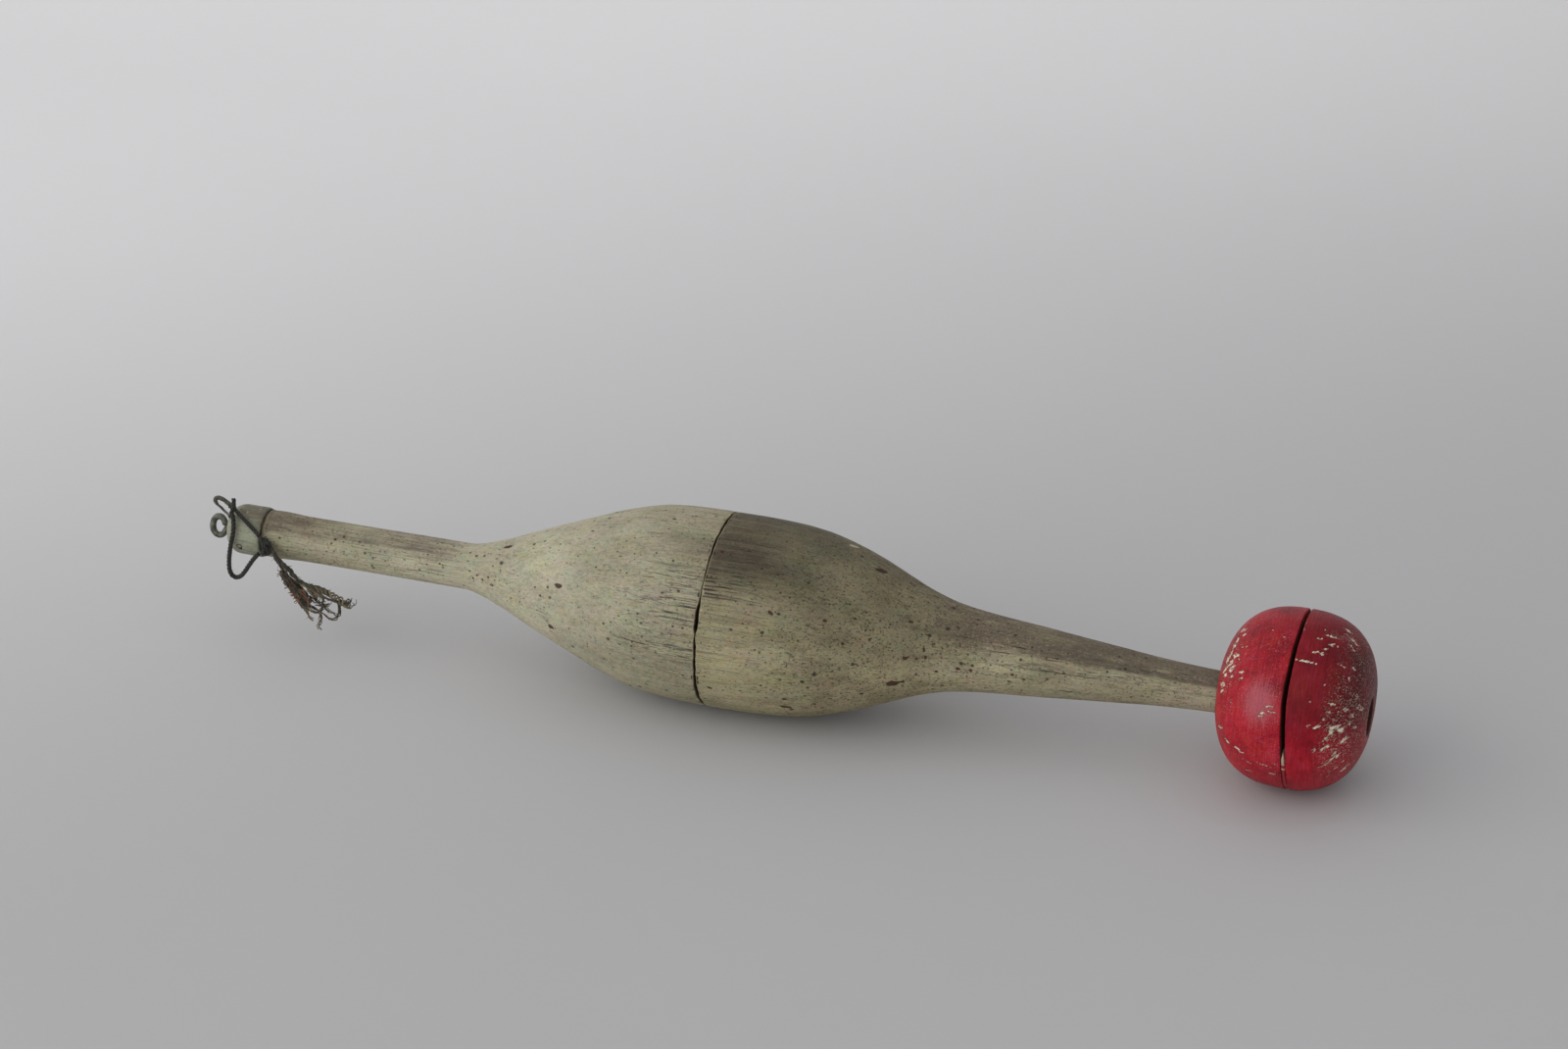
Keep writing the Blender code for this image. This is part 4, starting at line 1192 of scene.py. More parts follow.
# ------------------------------------------------------------------ end cap
def cap_wear(skin):
    x, phi, wear = skin.x, skin.phi, skin.wear
    skin.out += 0.10 * skin.noise(31, 4) + 0.035 * skin.noise(32, 1.3, octaves=3)
    skin.out *= 0.35 + 0.65 * step(CAP_FACE, CAP_FACE + 0.6, x)
    # a small round dent, low on the front
    away = np.sqrt((x - 2.9) ** 2 + skin.arc(slice(None), -17.5) ** 2)
    ring = np.exp(-((away - 0.60) / 0.16) ** 2)
    skin.out -= 0.20 * ring + 0.04 * step(0.7, 0.4, away)
    wear.groove = np.maximum(wear.groove, ring)
    rng = np.random.RandomState(9)
    for k in range(16):
        skin.pit(rng.uniform(-0.5, 7.0), rng.uniform(-180, 180), rng.uniform(0.2, 0.5),
                 rng.uniform(0.2, 0.35), rng.uniform(0.04, 0.12), "spot" if k % 3 else "cream",
                 rng.uniform(0.4, 0.9), seed=k)
    for k in range(9):
        start = rng.uniform(-1, 4)
        skin.line(start, start + rng.uniform(2, 4), rng.uniform(-180, 180),
                  rng.uniform(-4, 4), 0.05, 0.16, "groove", 0.5, seed=400 + k)
    wear.dark += 0.30 * step(1.2, -1.2, x) + 0.20 * step(6.2, 7.4, x)
    wear.dark += 0.25 * skin.noise(33, 3) + 0.05
    wear.dark += 0.62 * band(phi, 26, 52, 130, 165) * step(0.2, 3.0, x)
    wear.light += 0.42 * band(phi, -60, -40, 4, 30)
    wear.lines += 0.2
    wear.coarse += 0.35
    wear.pores += 0.2


def build_cap():
    end = CAP_END + 0.48
    outer = [(CAP_FACE, 1.5), (CAP_FACE, 1.9)]
    outer += [(CAP_FACE + 3.6 * (1 - math.cos(turn)),
               CAP_FLAT_R + (CAP_R - CAP_FLAT_R) * math.sin(turn))
              for turn in np.linspace(0.0, math.pi / 2, 34)]
    outer += [(x, CAP_R) for x in np.linspace(2.5, end - 0.55, 38)]
    outer += [(end - 0.35, CAP_R - 0.02), (end - 0.18, CAP_R - 0.10), (end - 0.05, CAP_R - 0.26)]
    x, radius = np.array(outer).T
    skin = Skin(x, spaced_angles(300, bias=0.2, peak=-10), radius,
                "spot groove cream dark light pores lines lit cool coarse")
    cap_wear(skin)
    # the back, the groove, the spigot and the wire's bore
    after = [(end, CAP_R - 0.5, 0.4), (end, 5.02, 0.8), (end + 0.05, 5.0, 0.9),
             (STEM_START - GAP, GROOVE_R, 0.9), (STEM_START - GAP, SPIGOT_R, 1.0),
             (SPIGOT_END - 0.6, SPIGOT_R, 1.0), (SPIGOT_END, SPIGOT_R - 0.6, 1.0),
             (SPIGOT_END, WIRE_BORE_R, 1.0), (CAP_FACE + 0.3, WIRE_BORE_R, 1.0),
             (CAP_FACE + 0.05, WIRE_BORE_R + 0.12, 0.6)]
    lathe("end_cap", [], outer_rows(skin), after, skin, "spindle", CAP)


build_upper()
build_lower()
dress_dowel()
build_cap()

# ------------------------------------------------------------------ whorl
# place along, angle, half length, half width, turn, strength
INNER_CHIPS = (
    (237.5, 85.1, 0.35, 0.22, 50, .9), (236.6, 87.6, 0.5, 0.2, 60, .9),
    (237.5, 77.7, 0.5, 0.2, 45, .9), (235.9, 75.7, 0.7, 0.25, 70, 1),
    (235.6, 67.7, 0.8, 0.25, 75, 1), (238.3, 63.9, 0.55, 0.18, 10, .9),
    (235.0, 59.8, 0.9, 0.35, 80, 1), (235.9, 52.0, 0.55, 0.45, 60, 1),
    (236.8, 57.6, 0.45, 0.4, 0, 1), (234.9, 48.6, 0.55, 0.3, 60, 1),
    (236.5, 46.5, 0.5, 0.4, 30, 1), (236.6, 40.7, 0.35, 0.3, 0, .9),
    (234.9, 43.2, 0.7, 0.25, -50, 1), (238.9, 43.2, 0.5, 0.16, 0, .8),
    (239.0, 38.1, 0.4, 0.18, 10, .8), (234.8, 32.6, 0.42, 0.42, 0, 1),
    (234.8, 25.6, 0.38, 0.2, 60, .9), (246.4, 23.2, 0.75, 0.14, 0, .9),
    (247.2, 20.0, 0.62, 0.2, 8, 1), (245.6, 18.2, 0.55, 0.22, 18, 1),
    (244.7, 16.1, 0.5, 0.14, 0, .8), (246.9, 11.5, 0.2, 0.14, 0, .6),
    (235.4, -10.0, 0.5, 0.3, 60, .9), (237.7, -15.4, 0.5, 0.25, -25, .9),
    (240.1, -14.2, 0.36, 0.24, 0, 1), (241.0, -15.7, 0.6, 0.14, 8, .8),
    (243.2, -22.6, 1.1, 0.12, -14, .8), (245.6, -19.9, 0.9, 0.13, -14, .8),
    (248.0, -17.3, 0.5, 0.12, -14, .7), (247.3, -27.7, 0.42, 0.2, 20, .9),
    (247.1, 70.6, 0.35, 0.12, 0, .7), (243.0, -33.0, 0.4, 0.2, 10, .7))
OUTER_CHIPS = (
    (254.2, 74.5, 0.7, 0.16, 20, .9), (256.5, 80.1, 0.9, 0.18, 10, 1),
    (261.1, 89.1, 0.8, 0.3, 0, .9), (259.3, 95.9, 0.6, 0.3, 0, .9),
    (257.0, 72.9, 0.45, 0.3, 40, .9), (255.3, 63.2, 0.5, 0.3, 20, 1),
    (254.0, 63.2, 0.4, 0.16, 40, .9), (256.0, 67.6, 0.7, 0.16, 45, .9),
    (252.4, 55.3, 1.6, 0.14, 0, 1.1), (259.8, 59.9, 0.55, 0.14, 0, .9),
    (262.4, 63.3, 0.3, 0.22, 0, .8), (261.2, 81.4, 0.7, 0.16, 0, .8),
    (259.5, 31.2, 0.38, 0.16, 0, .8), (262.3, 28.3, 0.42, 0.22, 30, .9),
    (259.1, 25.8, 0.3, 0.24, 0, .8), (260.5, 14.2, 0.8, 0.55, 10, 1.1),
    (262.0, 11.9, 0.5, 0.45, 0, 1.1), (260.0, 10.2, 0.55, 0.22, 55, 1),
    (257.1, 14.9, 0.5, 0.24, 35, 1), (258.4, 20.9, 0.36, 0.3, 40, .8),
    (255.4, 14.5, 0.4, 0.2, 40, .8), (259.1, 5.6, 0.42, 0.3, 20, 1),
    (262.8, 1.8, 0.5, 0.55, 0, 1), (258.5, -2.2, 0.6, 0.22, 40, 1),
    (259.4, -0.1, 0.4, 0.22, 20, 1), (256.9, -2.4, 0.42, 0.2, 40, .8),
    (261.3, -7.1, 0.6, 0.18, 55, .9), (260.5, -13.3, 0.8, 0.2, 45, 1),
    (261.8, -11.7, 0.5, 0.2, 60, .9), (259.4, -17.0, 0.7, 0.2, 20, .9),
    (263.1, -34.9, 0.5, 0.4, 0, .9), (264.4, 12.0, 0.3, 0.3, 0, .8),
    (263.8, 24.3, 0.35, 0.3, 30, .8), (263.5, 17.5, 0.35, 0.2, 50, .8),
    (265.0, 32.4, 0.4, 0.6, 0, .8), (264.1, 41.6, 0.3, 0.5, 0, .8),
    (262.8, -21.4, 0.35, 0.25, 0, .8), (263.5, -56.8, 0.35, 0.3, 0, .8),
    (260.0, -32.3, 0.4, 0.2, 30, .8))
# angle, how far along the shaft the whorl's joint strays from a flat cut
JOINT_BOW = ((-180, 0.0), (-120, 0.9), (-60, 1.4), (-48, 1.35), (-11, 0.80), (4, 0.30),
             (25, -0.25), (38, -0.38), (76, 0.0), (104, 0.30), (140, 0.1), (180, 0.0))


def joint_bow(phi):
    phi = wrap(phi)
    return look_up(JOINT_BOW, phi) + 0.06 * ring_noise(phi, 4, 0.7, 47)


def joint_widening(y, z):
    """How much the whorl's joint opens at a place round it, since its cuts are tilted."""
    across = y * math.cos(WHORL_GAP_TURN) - z * math.sin(WHORL_GAP_TURN)
    return -across * math.tan(WHORL_GAP_TILT)


def bore_radius(x):
    return smooth_radius(LOWER_STATIONS, np.minimum(x, SHAFT_END)) + GAP


def whorl_wear(skin, face, outer):
    x, r = skin.x, skin.r
    skin.out += 0.09 * skin.noise(41, 13) + 0.018 * skin.noise(42, 3)
    skin.out += 0.016 * noise(x / 0.75, 0.5, 0.5, 43) * step(6.5, 9.5, r)
    skin.out += 0.008 * skin.noise(44, 0.9, octaves=2)
    chips = OUTER_CHIPS if outer else INNER_CHIPS
    for k, (place, phi, length, width, turn, much) in enumerate(chips):
        skin.pit(place, phi, length * 1.45 + 0.08, width * 1.15 + 0.10, 0.05 * min(1, much),
                 "chip", min(1.0, 0.98 * much), turn=turn, soft=0.60, ragged=0.45, seed=k,
                 grain=2.2)
    rng = np.random.RandomState(72 if outer else 71)
    shoulder = 262.0 if outer else 237.2
    for k in range(190):        # random chips on the shoulders, few of them near the front
        phi = rng.uniform(-180, 180)
        place = rng.normal(shoulder, 2.6)
        if -60 < phi < 112 and rng.rand() < 0.86:
            continue
        if not x.min() + 0.6 < place < x.max() - 0.5:
            continue
        size = rng.uniform(0.16, 0.6)
        skin.pit(place, phi, size * rng.uniform(0.8, 1.8), size * rng.uniform(0.35, 0.8), 0.09,
                 "chip", rng.uniform(0.5, 1.0), turn=rng.uniform(-70, 70), soft=0.35,
                 ragged=0.5, seed=k + 60, grain=2.2)
    for k in range(26):         # small hits elsewhere
        phi, place = rng.uniform(-180, 180), rng.uniform(x.min() + 1, x.max() - 1)
        if -60 < phi < 112 and rng.rand() < 0.8:
            continue
        size = rng.uniform(0.12, 0.3)
        skin.pit(place, phi, size * rng.uniform(1, 3), size, 0.06, "chip",
                 rng.uniform(0.5, 0.9), turn=rng.uniform(-30, 30), seed=k + 300, grain=2.2)
    for k in range(30):         # broken edge of the joint
        phi = rng.uniform(-180, 180)
        size = rng.uniform(0.15, 0.42)
        skin.pit(face + (0.1 if outer else -0.1), phi, size * 0.8, size * rng.uniform(0.8, 2.0),
                 0.10, "dark" if k % 3 else "chip", rng.uniform(0.4, 0.8), seed=k + 500,
                 ragged=0.5)


def outer_half_tones(skin):
    x, phi, wear = skin.x, skin.phi, skin.wear
    skin.pit(259.8, 87.7, 1.7, 1.3, 0.05, "grey", 0.62, turn=10, soft=0.7, ragged=0.7, seed=5)
    skin.pit(258.3, 84.5, 3.6, 1.6, 0.03, "grey", 0.44, turn=14, soft=0.7, ragged=0.8, seed=6)
    wear.fleck += 0.92 * step(256.0, 261.5, x) * (0.35 + 0.65 * band(phi, -45, -20, 34, 58))
    wear.fleck += 0.30 * step(258, 263, x)
    shadow = 0.42 * band(x, 253, 259, 263, 266) * band(phi, 20, 38, 70, 90)
    wear.dark = np.maximum(wear.dark, shadow)
    wear.dark += 0.30 * band(phi, 60, 75, 95, 120) * step(256, 262, x)
    # painted shade, darker towards the outer end
    wear.dark += 0.46 * step(260.5, 265.0, x)
    # painted sheen on the end and the top
    wear.bloom += 0.26 * step(262.6, 265.8, x) + 0.20 * band(phi, 30, 60, 110, 150)
    # painted light and shade: the outer half darker, lighter on the front and underneath
    wear.lit += -0.38 - 0.10 * step(257, 264, x) * band(phi, -20, 0, 80, 110)
    wear.lit += 0.60 * band(phi, -100, -60, -6, 24)
    wear.grey = np.maximum(wear.grey, 0.42 * step(264.2, 265.9, x))


def inner_half_tones(skin):
    x, phi, wear = skin.x, skin.phi, skin.wear
    uneven = 0.45 + 0.55 * np.abs(np.sin(np.radians(phi * 1.5)))
    wear.fleck += 0.55 * step(239.5, 235.6, x) * uneven + 0.12
    wear.dark += 0.14 * step(70, 100, phi) * step(170, 130, phi)
    # painted sheen, and a painted highlight on the front
    wear.bloom += 0.22 * band(phi, 55, 80, 110, 150) + 0.24 * band(phi, -85, -55, -14, 4) + 0.05
    wear.bloom += 1.05 * np.exp(-((x - 244.2) / 4.8) ** 2 - (wrap(phi - 24) / 19.0) ** 2)
    # painted light and shade: lighter on the front and underneath, darker on the top
    wear.lit += 0.07 + 0.22 * band(phi, -90, -60, 6, 30) - 0.14 * band(phi, 45, 65, 120, 160)
    wear.lit += 0.12 * step(243, 238, x)


def whorl_profile(hole):
    """Distance from the whorl's middle and radius, from the joint to the small end face."""
    start = math.asin((WHORL_GAP / 2 + 0.18) / WHORL_HALF)
    along = WHORL_HALF * np.sin(np.linspace(start, math.pi / 2, 900))
    along = along[along < WHORL_REACH]
    radius = whorl_radius(WHORL_MID + along)
    reached = np.concatenate([[0], np.cumsum(np.hypot(np.diff(along), np.diff(radius)))])
    even = np.linspace(0, reached[-1], int(reached[-1] / 0.185))
    flat = np.linspace(WHORL_FACE_R - 0.2, hole + 0.75, 10)
    return (np.concatenate([np.interp(even, reached, along), np.full(len(flat), WHORL_REACH)]),
            np.concatenate([np.interp(even, reached, radius), flat]), len(flat))


def build_whorl(outer):
    sign = 1 if outer else -1
    face, end = WHORL_MID + sign * WHORL_GAP / 2, WHORL_MID + sign * WHORL_REACH
    hole = float(bore_radius(end))
    along, radius, flat_count = whorl_profile(hole)
    skin = Skin(WHORL_MID + sign * along, spaced_angles(560), radius,
                "chip fleck dark bloom grey lit")
    whorl_wear(skin, face, outer)
    (outer_half_tones if outer else inner_half_tones)(skin)
    skin.wear.fleck *= 0.8 + 0.5 * skin.noise(45, 3)
    skin.out *= step(hole + 0.5, hole + 1.6, skin.r)
    edge = [(face, hole + 6, 1.0, 0.5), (face, 15.0, 1.0), (face, 17.6, 1.0),
            (face, 18.8, 0.9), (face, 19.4, 0.45), (face + sign * 0.02, 19.80, 0.15),
            (face + sign * 0.06, 19.93, 0.0), (face + sign * 0.12, 19.98, 0.0)]
    body = outer_rows(skin)
    # the small end face runs from the whorl's own axis to the bore's
    body[-flat_count:] = [
        (*row, float(np.clip((row[1] - hole - 0.75) / (WHORL_FACE_R - hole - 0.95), 0, 1)))
        for row in body[-flat_count:]]
    rim = [(end - sign * 0.05, hole + 0.40, 0.25, 0.0),
           (end - sign * 0.22, hole + 0.14, 0.7, 0.0), (end - sign * 0.5, hole, 1.0, 0.0)]
    bore = [(x, float(bore_radius(x)), 1.0, 0.0) for x in np.linspace(end - sign * 1.5, face, 7)]

    def opening(row_x, row_r, phi):
        away = np.abs(row_x - face)
        near = step(6.0, 0, away) * step(7.0, 14.0, row_r)
        bow = near[:, None] * joint_bow(phi)[None, :]
        if not outer:
            return bow
        y = WHORL_OFF[0] - row_r[:, None] * np.cos(np.radians(phi))[None, :]
        z = WHORL_OFF[1] + row_r[:, None] * np.sin(np.radians(phi))[None, :]
        return step(3.0, 0, away)[:, None] * joint_widening(y, z) + bow

    def hole_wear_and_shade(x, y, z, attrs):
        """Dirt and bare wood round the hole, and painted shade far inside the bore."""
        from_shaft, from_middle = np.hypot(y, z), np.abs(x - WHORL_MID)
        near_hole = (step(hole + 1.6, hole + 0.2, from_shaft)
                     * step(WHORL_REACH - 1.2, WHORL_REACH - 0.2, from_middle))
        attrs["inside"] = np.maximum(attrs["inside"], 0.55 * near_hole)
        # painted shade far inside the bore
        attrs["deep"] = (step(hole + 0.45, hole + 0.05, from_shaft)
                         * step(WHORL_REACH - 14, WHORL_REACH - 9, from_middle))
        broken = step(-0.1, 0.5, noise(x / 0.9, y / 0.9, z / 0.9, 46))
        attrs["chip"] = np.maximum(attrs["chip"], 0.62 * near_hole * broken)

    lathe("whorl_outer_half" if outer else "whorl_inner_half", edge, body, rim + bore, skin,
          "whorl", RED, centre=WHORL_OFF, adjust=hole_wear_and_shade, seam=opening)


# section of the filler strip: share of half the width, depth from the whorl's radius
FILLER_SIDE = ((1.0, -3.4), (1.0, -2.2), (1.0, -1.2), (1.0, -0.6), (0.93, -0.36),
               (0.75, -0.24), (0.45, -0.17))
FILLER_SECTION = (tuple((-side, depth) for side, depth in FILLER_SIDE) + ((0.0, -0.14),)
                  + FILLER_SIDE[::-1] + ((0.4, -3.5), (-0.4, -3.5)))


def build_filler():
    """The strip in the underside of the joint: bare at its front end, painted beyond."""
    start, end, count = math.radians(-171.0), math.radians(-60.0), 260
    points, bare, crack = [], [], []
    for i in range(count):
        share = i / (count - 1)
        turn = start + (end - start) * share
        cos, sin = math.cos(turn), math.sin(turn)
        widening = joint_widening(WHORL_OFF[0] + WHORL_R * cos, WHORL_OFF[1] + WHORL_R * sin)
        along = share * (end - start) * WHORL_R         # length along the strip
        taper = min(1.0, 0.55 + along / 2.0) * min(1.0, 0.4 + (count - 1 - i) / 8)
        half = (WHORL_GAP + widening) / 2 - 0.03
        half *= 0.86 + 0.14 * min(1.0, along / 4.0) + 0.05 * noise(along / 0.8, 0.2, 0.4, 51)
        if along < 2.6:
            half *= 0.80
        lump = 0.14 * noise(along / 1.1, 1.2, 0.4, 52) + (0.10 if along < 2.4 else 0.0)
        bow = joint_bow(math.degrees(math.atan2(WHORL_R * sin, -WHORL_R * cos)))
        patchy = along < 4.6 and noise(along / 0.9, 0.3, 0.1, 54) > -0.1
        bareness = 1.0 if along < 2.6 else (0.62 if patchy else 0.0)
        for side, depth in FILLER_SECTION:
            raised = depth + lump * (1 if depth > -0.5 else 0.4)
            r = WHORL_R + min(-0.02, raised) - (1 - taper) * 0.6
            x = (WHORL_MID + widening / 2 + side * half * taper
                 + 0.05 * noise(along / 0.6, side, depth, 53) + bow)
            points.append((float(x), WHORL_OFF[0] + r * cos, WHORL_OFF[1] + r * sin))
            bare.append(bareness)
            crack.append(float(step(0.72, 1.0, side)) if along > 2.2 else 0.0)
    sides = len(FILLER_SECTION)
    faces = grid_faces(count, sides) + end_fans(0, (count - 1) * sides, sides, len(points))
    points += [tuple(np.mean(points[:sides], 0)), tuple(np.mean(points[-sides:], 0))]
    add_piece("whorl_seam_filler_strip", np.array(points), faces, "whorl",
              "whorl_seam_filler", FILL,
              {"bare": bare + [1.0, 0.0], "crack": crack + [0.0, 1.0]})


build_whorl(False)
build_whorl(True)
build_filler()


# ------------------------------------------------------------------ wire
def build_eye():
    points = [(25.0, 0, 0), (17.0, 0, 0), (9.0, 0, 0), (1.5, 0, 0), (-0.9, 0, 0),
              (-1.7, 0, -0.12), (-2.25, 0, -0.55)]
    turns = [math.radians(degrees) for degrees in range(-32, -340, -20)]
    for i, turn in enumerate(turns):    # the ring leans back a little
        points.append((EYE_X + (EYE_RX + 0.05) * math.cos(turn),
                       -0.9 * i / (len(turns) - 1) + 0.34 * EYE_RZ * math.sin(turn),
                       (EYE_RZ + 0.05) * math.sin(turn)))
    path = smooth_path(points, 0.16)
    radius = EYE_WIRE_R * (1 + 0.05 * noise(np.arange(len(path)) * 0.08, 0.3, 0.2, 61))
    wire = Strands()
    wire.tube(path, radius, sides=20, ends=4, rough=0.06, seed=3)
    wire.build("eye_wire_worn", "spindle", "eye_wire", EYE_WIRE)


TIE = ((0.55, -1.9, 6.45), (0.1, -1.85, 6.65), (-0.8, -1.9, 7.1), (-1.9, -2.0, 7.9),
       (-2.8, -2.0, 8.25), (-3.7, -2.0, 8.15), (-4.1, -2.0, 7.4), (-3.6, -2.0, 6.5),
       (-2.6, -2.0, 5.7), (-1.7, -2.3, 5.1), (-0.7, -3.1, 5.05), (0.0, -3.7, 4.6))


def build_tie():
    path = smooth_path(TIE, 0.14)
    share = np.linspace(0, 1, len(path))
    radius = 0.52 - 0.22 * step(0.48, 0.62, share) + 0.02 * noise(share * 40, 0.1, 0.2, 62)
    wire = Strands()
    wire.tube(path, radius, sides=16, ends=4, rough=0.08, seed=4)
    wire.build("tie_wire_worn", "spindle", "tie_wire", TIE_WIRE)


build_eye()
build_tie()


# ------------------------------------------------------------------ cord
def fuzz(strands, path, radius, count, seed, length, width=0.035, tint=0.5):
    """Short stray fibres that stand out of a cord."""
    rng = np.random.RandomState(seed)
    ahead, across, third = directions(path)
    share = np.linspace(0, 1, 6)[:, None]
    for _ in range(count):
        i = rng.randint(1, len(path) - 1)
        turn = rng.uniform(0, 2 * math.pi)
        out = across[i] * math.cos(turn) + third[i] * math.sin(turn)
        lean = ahead[i] * rng.uniform(-1, 1) + out * rng.uniform(0.3, 0.9)
        lean /= np.linalg.norm(lean)
        bend = np.cross(lean, rng.normal(size=3))
        bend /= np.linalg.norm(bend)
        reach = rng.uniform(*length)
        curl = bend * share * share * reach * rng.uniform(0.1, 0.6)
        strands.tube(path[i] + out * radius * 0.85 + lean * share * reach + curl,
                     width * (1 - 0.5 * share[:, 0]), sides=4, ends=0, tint=tint)


def laid(strands, path, radius, pitch, phase, tint, seed):
    """A three-ply cord of a given outer radius."""
    for k, ply in enumerate(twist(path, radius * 0.50, pitch, 3, phase)):
        strands.tube(ply, radius * 0.52, sides=10, tint=tint + 0.10 * k, rough=0.10,
                     seed=seed + k)


def build_thread():
    """Two turns of two-ply thread in the groove behind the cap."""
    thread = Strands()
    turn = np.arange(220) / 220 * 2 * math.pi
    # offset along, offset outwards, radius
    for k, (along, outward, radius) in enumerate(((0.02, 0.12, 0.17), (0.12, -0.12, 0.13))):
        stray = (0.06 * np.sin(turn + k)
                 + 0.04 * noise(np.cos(turn) * 4, np.sin(turn) * 4, k + 0.5, 71))
        ring = np.stack([8.02 + along + stray, (5.28 + outward) * np.cos(turn),
                         (5.28 + outward) * np.sin(turn)], 1)
        for ply in twist(ring, radius * 0.55, 1.5, 2, k, closed=True):
            thread.tube(ply, radius * 0.62, sides=6, closed=True, tint=0.3 + 0.2 * k)
    thread.build("cap_thread_twist", "spindle", "cap_thread", THREAD)


SPAN = ((-0.3, -2.6, 6.9), (0.3, -3.0, 6.95), (1.7, -3.5, 6.4), (3.6, -4.2, 5.2),
        (5.3, -5.0, 4.3), (6.9, -5.7, 3.4), (8.3, -6.35, 2.6))
STUB = ((1.0, -3.15, 9.2), (1.1, -3.4, 8.3), (1.0, -3.65, 7.2), (0.75, -3.85, 6.3),
        (0.6, -3.95, 5.9))
LOOP = ((0.6, -3.9, 6.0), (1.35, -4.7, 5.2), (1.9, -6.0, 3.3), (1.85, -6.55, 1.6),
        (1.45, -6.85, -0.6), (0.9, -6.8, -3.9), (0.75, -6.75, -6.9), (1.25, -6.75, -8.7),
        (2.4, -6.75, -9.3), (3.6, -6.75, -8.7), (4.6, -6.75, -7.4), (5.8, -6.75, -5.4),
        (7.1, -6.85, -3.4), (8.2, -7.0, -2.0))
KNOT_MIDDLE = np.array((10.25, -7.0, 0.35))
# parts of the knot from its middle
KNOT_OVER = ((-1.25, 0.25, 2.0), (-0.95, -0.35, 1.55), (-0.15, -0.78, 0.75),
             (0.45, -0.80, 0.0), (0.75, -0.45, -0.85), (0.55, 0.1, -1.5))
KNOT_UNDER = ((-1.15, 0.2, -2.15), (-0.80, -0.35, -1.55), (-0.25, -0.72, -0.75),
              (-0.45, -0.62, 0.25), (-0.35, -0.2, 1.2), (0.25, 0.35, 1.75))
KNOT_EAR = ((0.1, -0.2, 1.1), (0.75, -0.55, 1.35), (1.15, -0.4, 1.05), (0.95, -0.1, 0.45),
            (0.4, 0.1, 0.3))


def build_span():
    cord = Strands()
    path = smooth_path(SPAN)
    laid(cord, path, 0.50, pitch=2.6, phase=0.3, tint=0.32, seed=11)
    fuzz(cord, path, 0.5, 12, 12, length=(0.3, 0.8))
    laid(cord, smooth_path(STUB), 0.52, pitch=2.6, phase=0.9, tint=0.22, seed=61)
    cord.build("cord_span_twist", "spindle", "cord_span", CORD)


def build_loop():
    cord = Strands()
    path = smooth_path(LOOP)
    laid(cord, path, 0.56, pitch=2.8, phase=1.1, tint=0.22, seed=13)
    fuzz(cord, path, 0.54, 16, 14, length=(0.3, 0.8))
    cord.build("cord_loop_twist", "cord_bight", "cord_loop", CORD)


def build_knot():
    """Wraps drawn tight, with two parts that cross over them and a small ear."""
    cord = Strands()
    wraps = []
    for k in range(0, 90, 3):
        share = k / 89
        turn = 2 * math.pi * 2.6 * share + 2.4
        bulge = 0.74 - 0.10 * math.cos(4 * math.pi * share)
        wraps.append((bulge * math.cos(turn), 0.62 * bulge * math.sin(turn) + 0.1,
                      1.75 - 3.5 * share + 0.18 * math.sin(turn + 0.6)))
    # points, spacing, radius, pitch, phase, tint, seed
    for points, spacing, *lay in (
            (wraps, 0.12, 0.52, 2.2, 0.2, 0.05, 15), (KNOT_OVER, 0.12, 0.50, 2.4, 1.4, 0.15, 18),
            (KNOT_UNDER, 0.12, 0.48, 2.4, 0.4, 0.10, 21),
            (KNOT_EAR, 0.10, 0.46, 2.2, 0.9, 0.25, 24)):
        laid(cord, smooth_path(KNOT_MIDDLE + np.array(points), spacing), *lay)
    fuzz(cord, smooth_path(KNOT_MIDDLE + np.array(KNOT_OVER)), 0.5, 12, 27, length=(0.3, 0.9))
    cord.build("cord_knot_tied", "spindle", "cord_knot", CORD)


build_thread()
build_span()
build_loop()
build_knot()

# ------------------------------------------------------------------ tassel
FRONT_STRAND = (
    (11.4, -7.1, 0.2), (12.7, -7.3, -1.6), (13.9, -7.3, -3.0), (15.0, -7.4, -3.8),
    (16.1, -7.4, -4.6), (17.3, -7.5, -5.8), (18.4, -7.6, -6.9), (19.8, -7.6, -7.7),
    (21.6, -7.7, -7.9), (23.5, -7.8, -8.1), (25.3, -7.8, -8.6), (26.9, -7.9, -9.2),
    (28.3, -7.9, -9.9), (29.4, -8.0, -10.5))
REAR_STRAND = (
    (11.6, -7.0, -0.5), (12.6, -7.0, -1.9), (13.3, -7.0, -3.1), (14.0, -7.0, -4.7),
    (14.4, -7.0, -6.1), (15.1, -7.0, -7.3), (15.9, -7.0, -8.6), (16.5, -7.0, -9.9),
    (17.3, -7.0, -11.1), (18.1, -7.0, -12.2), (18.9, -7.0, -13.3), (19.2, -7.0, -13.9))
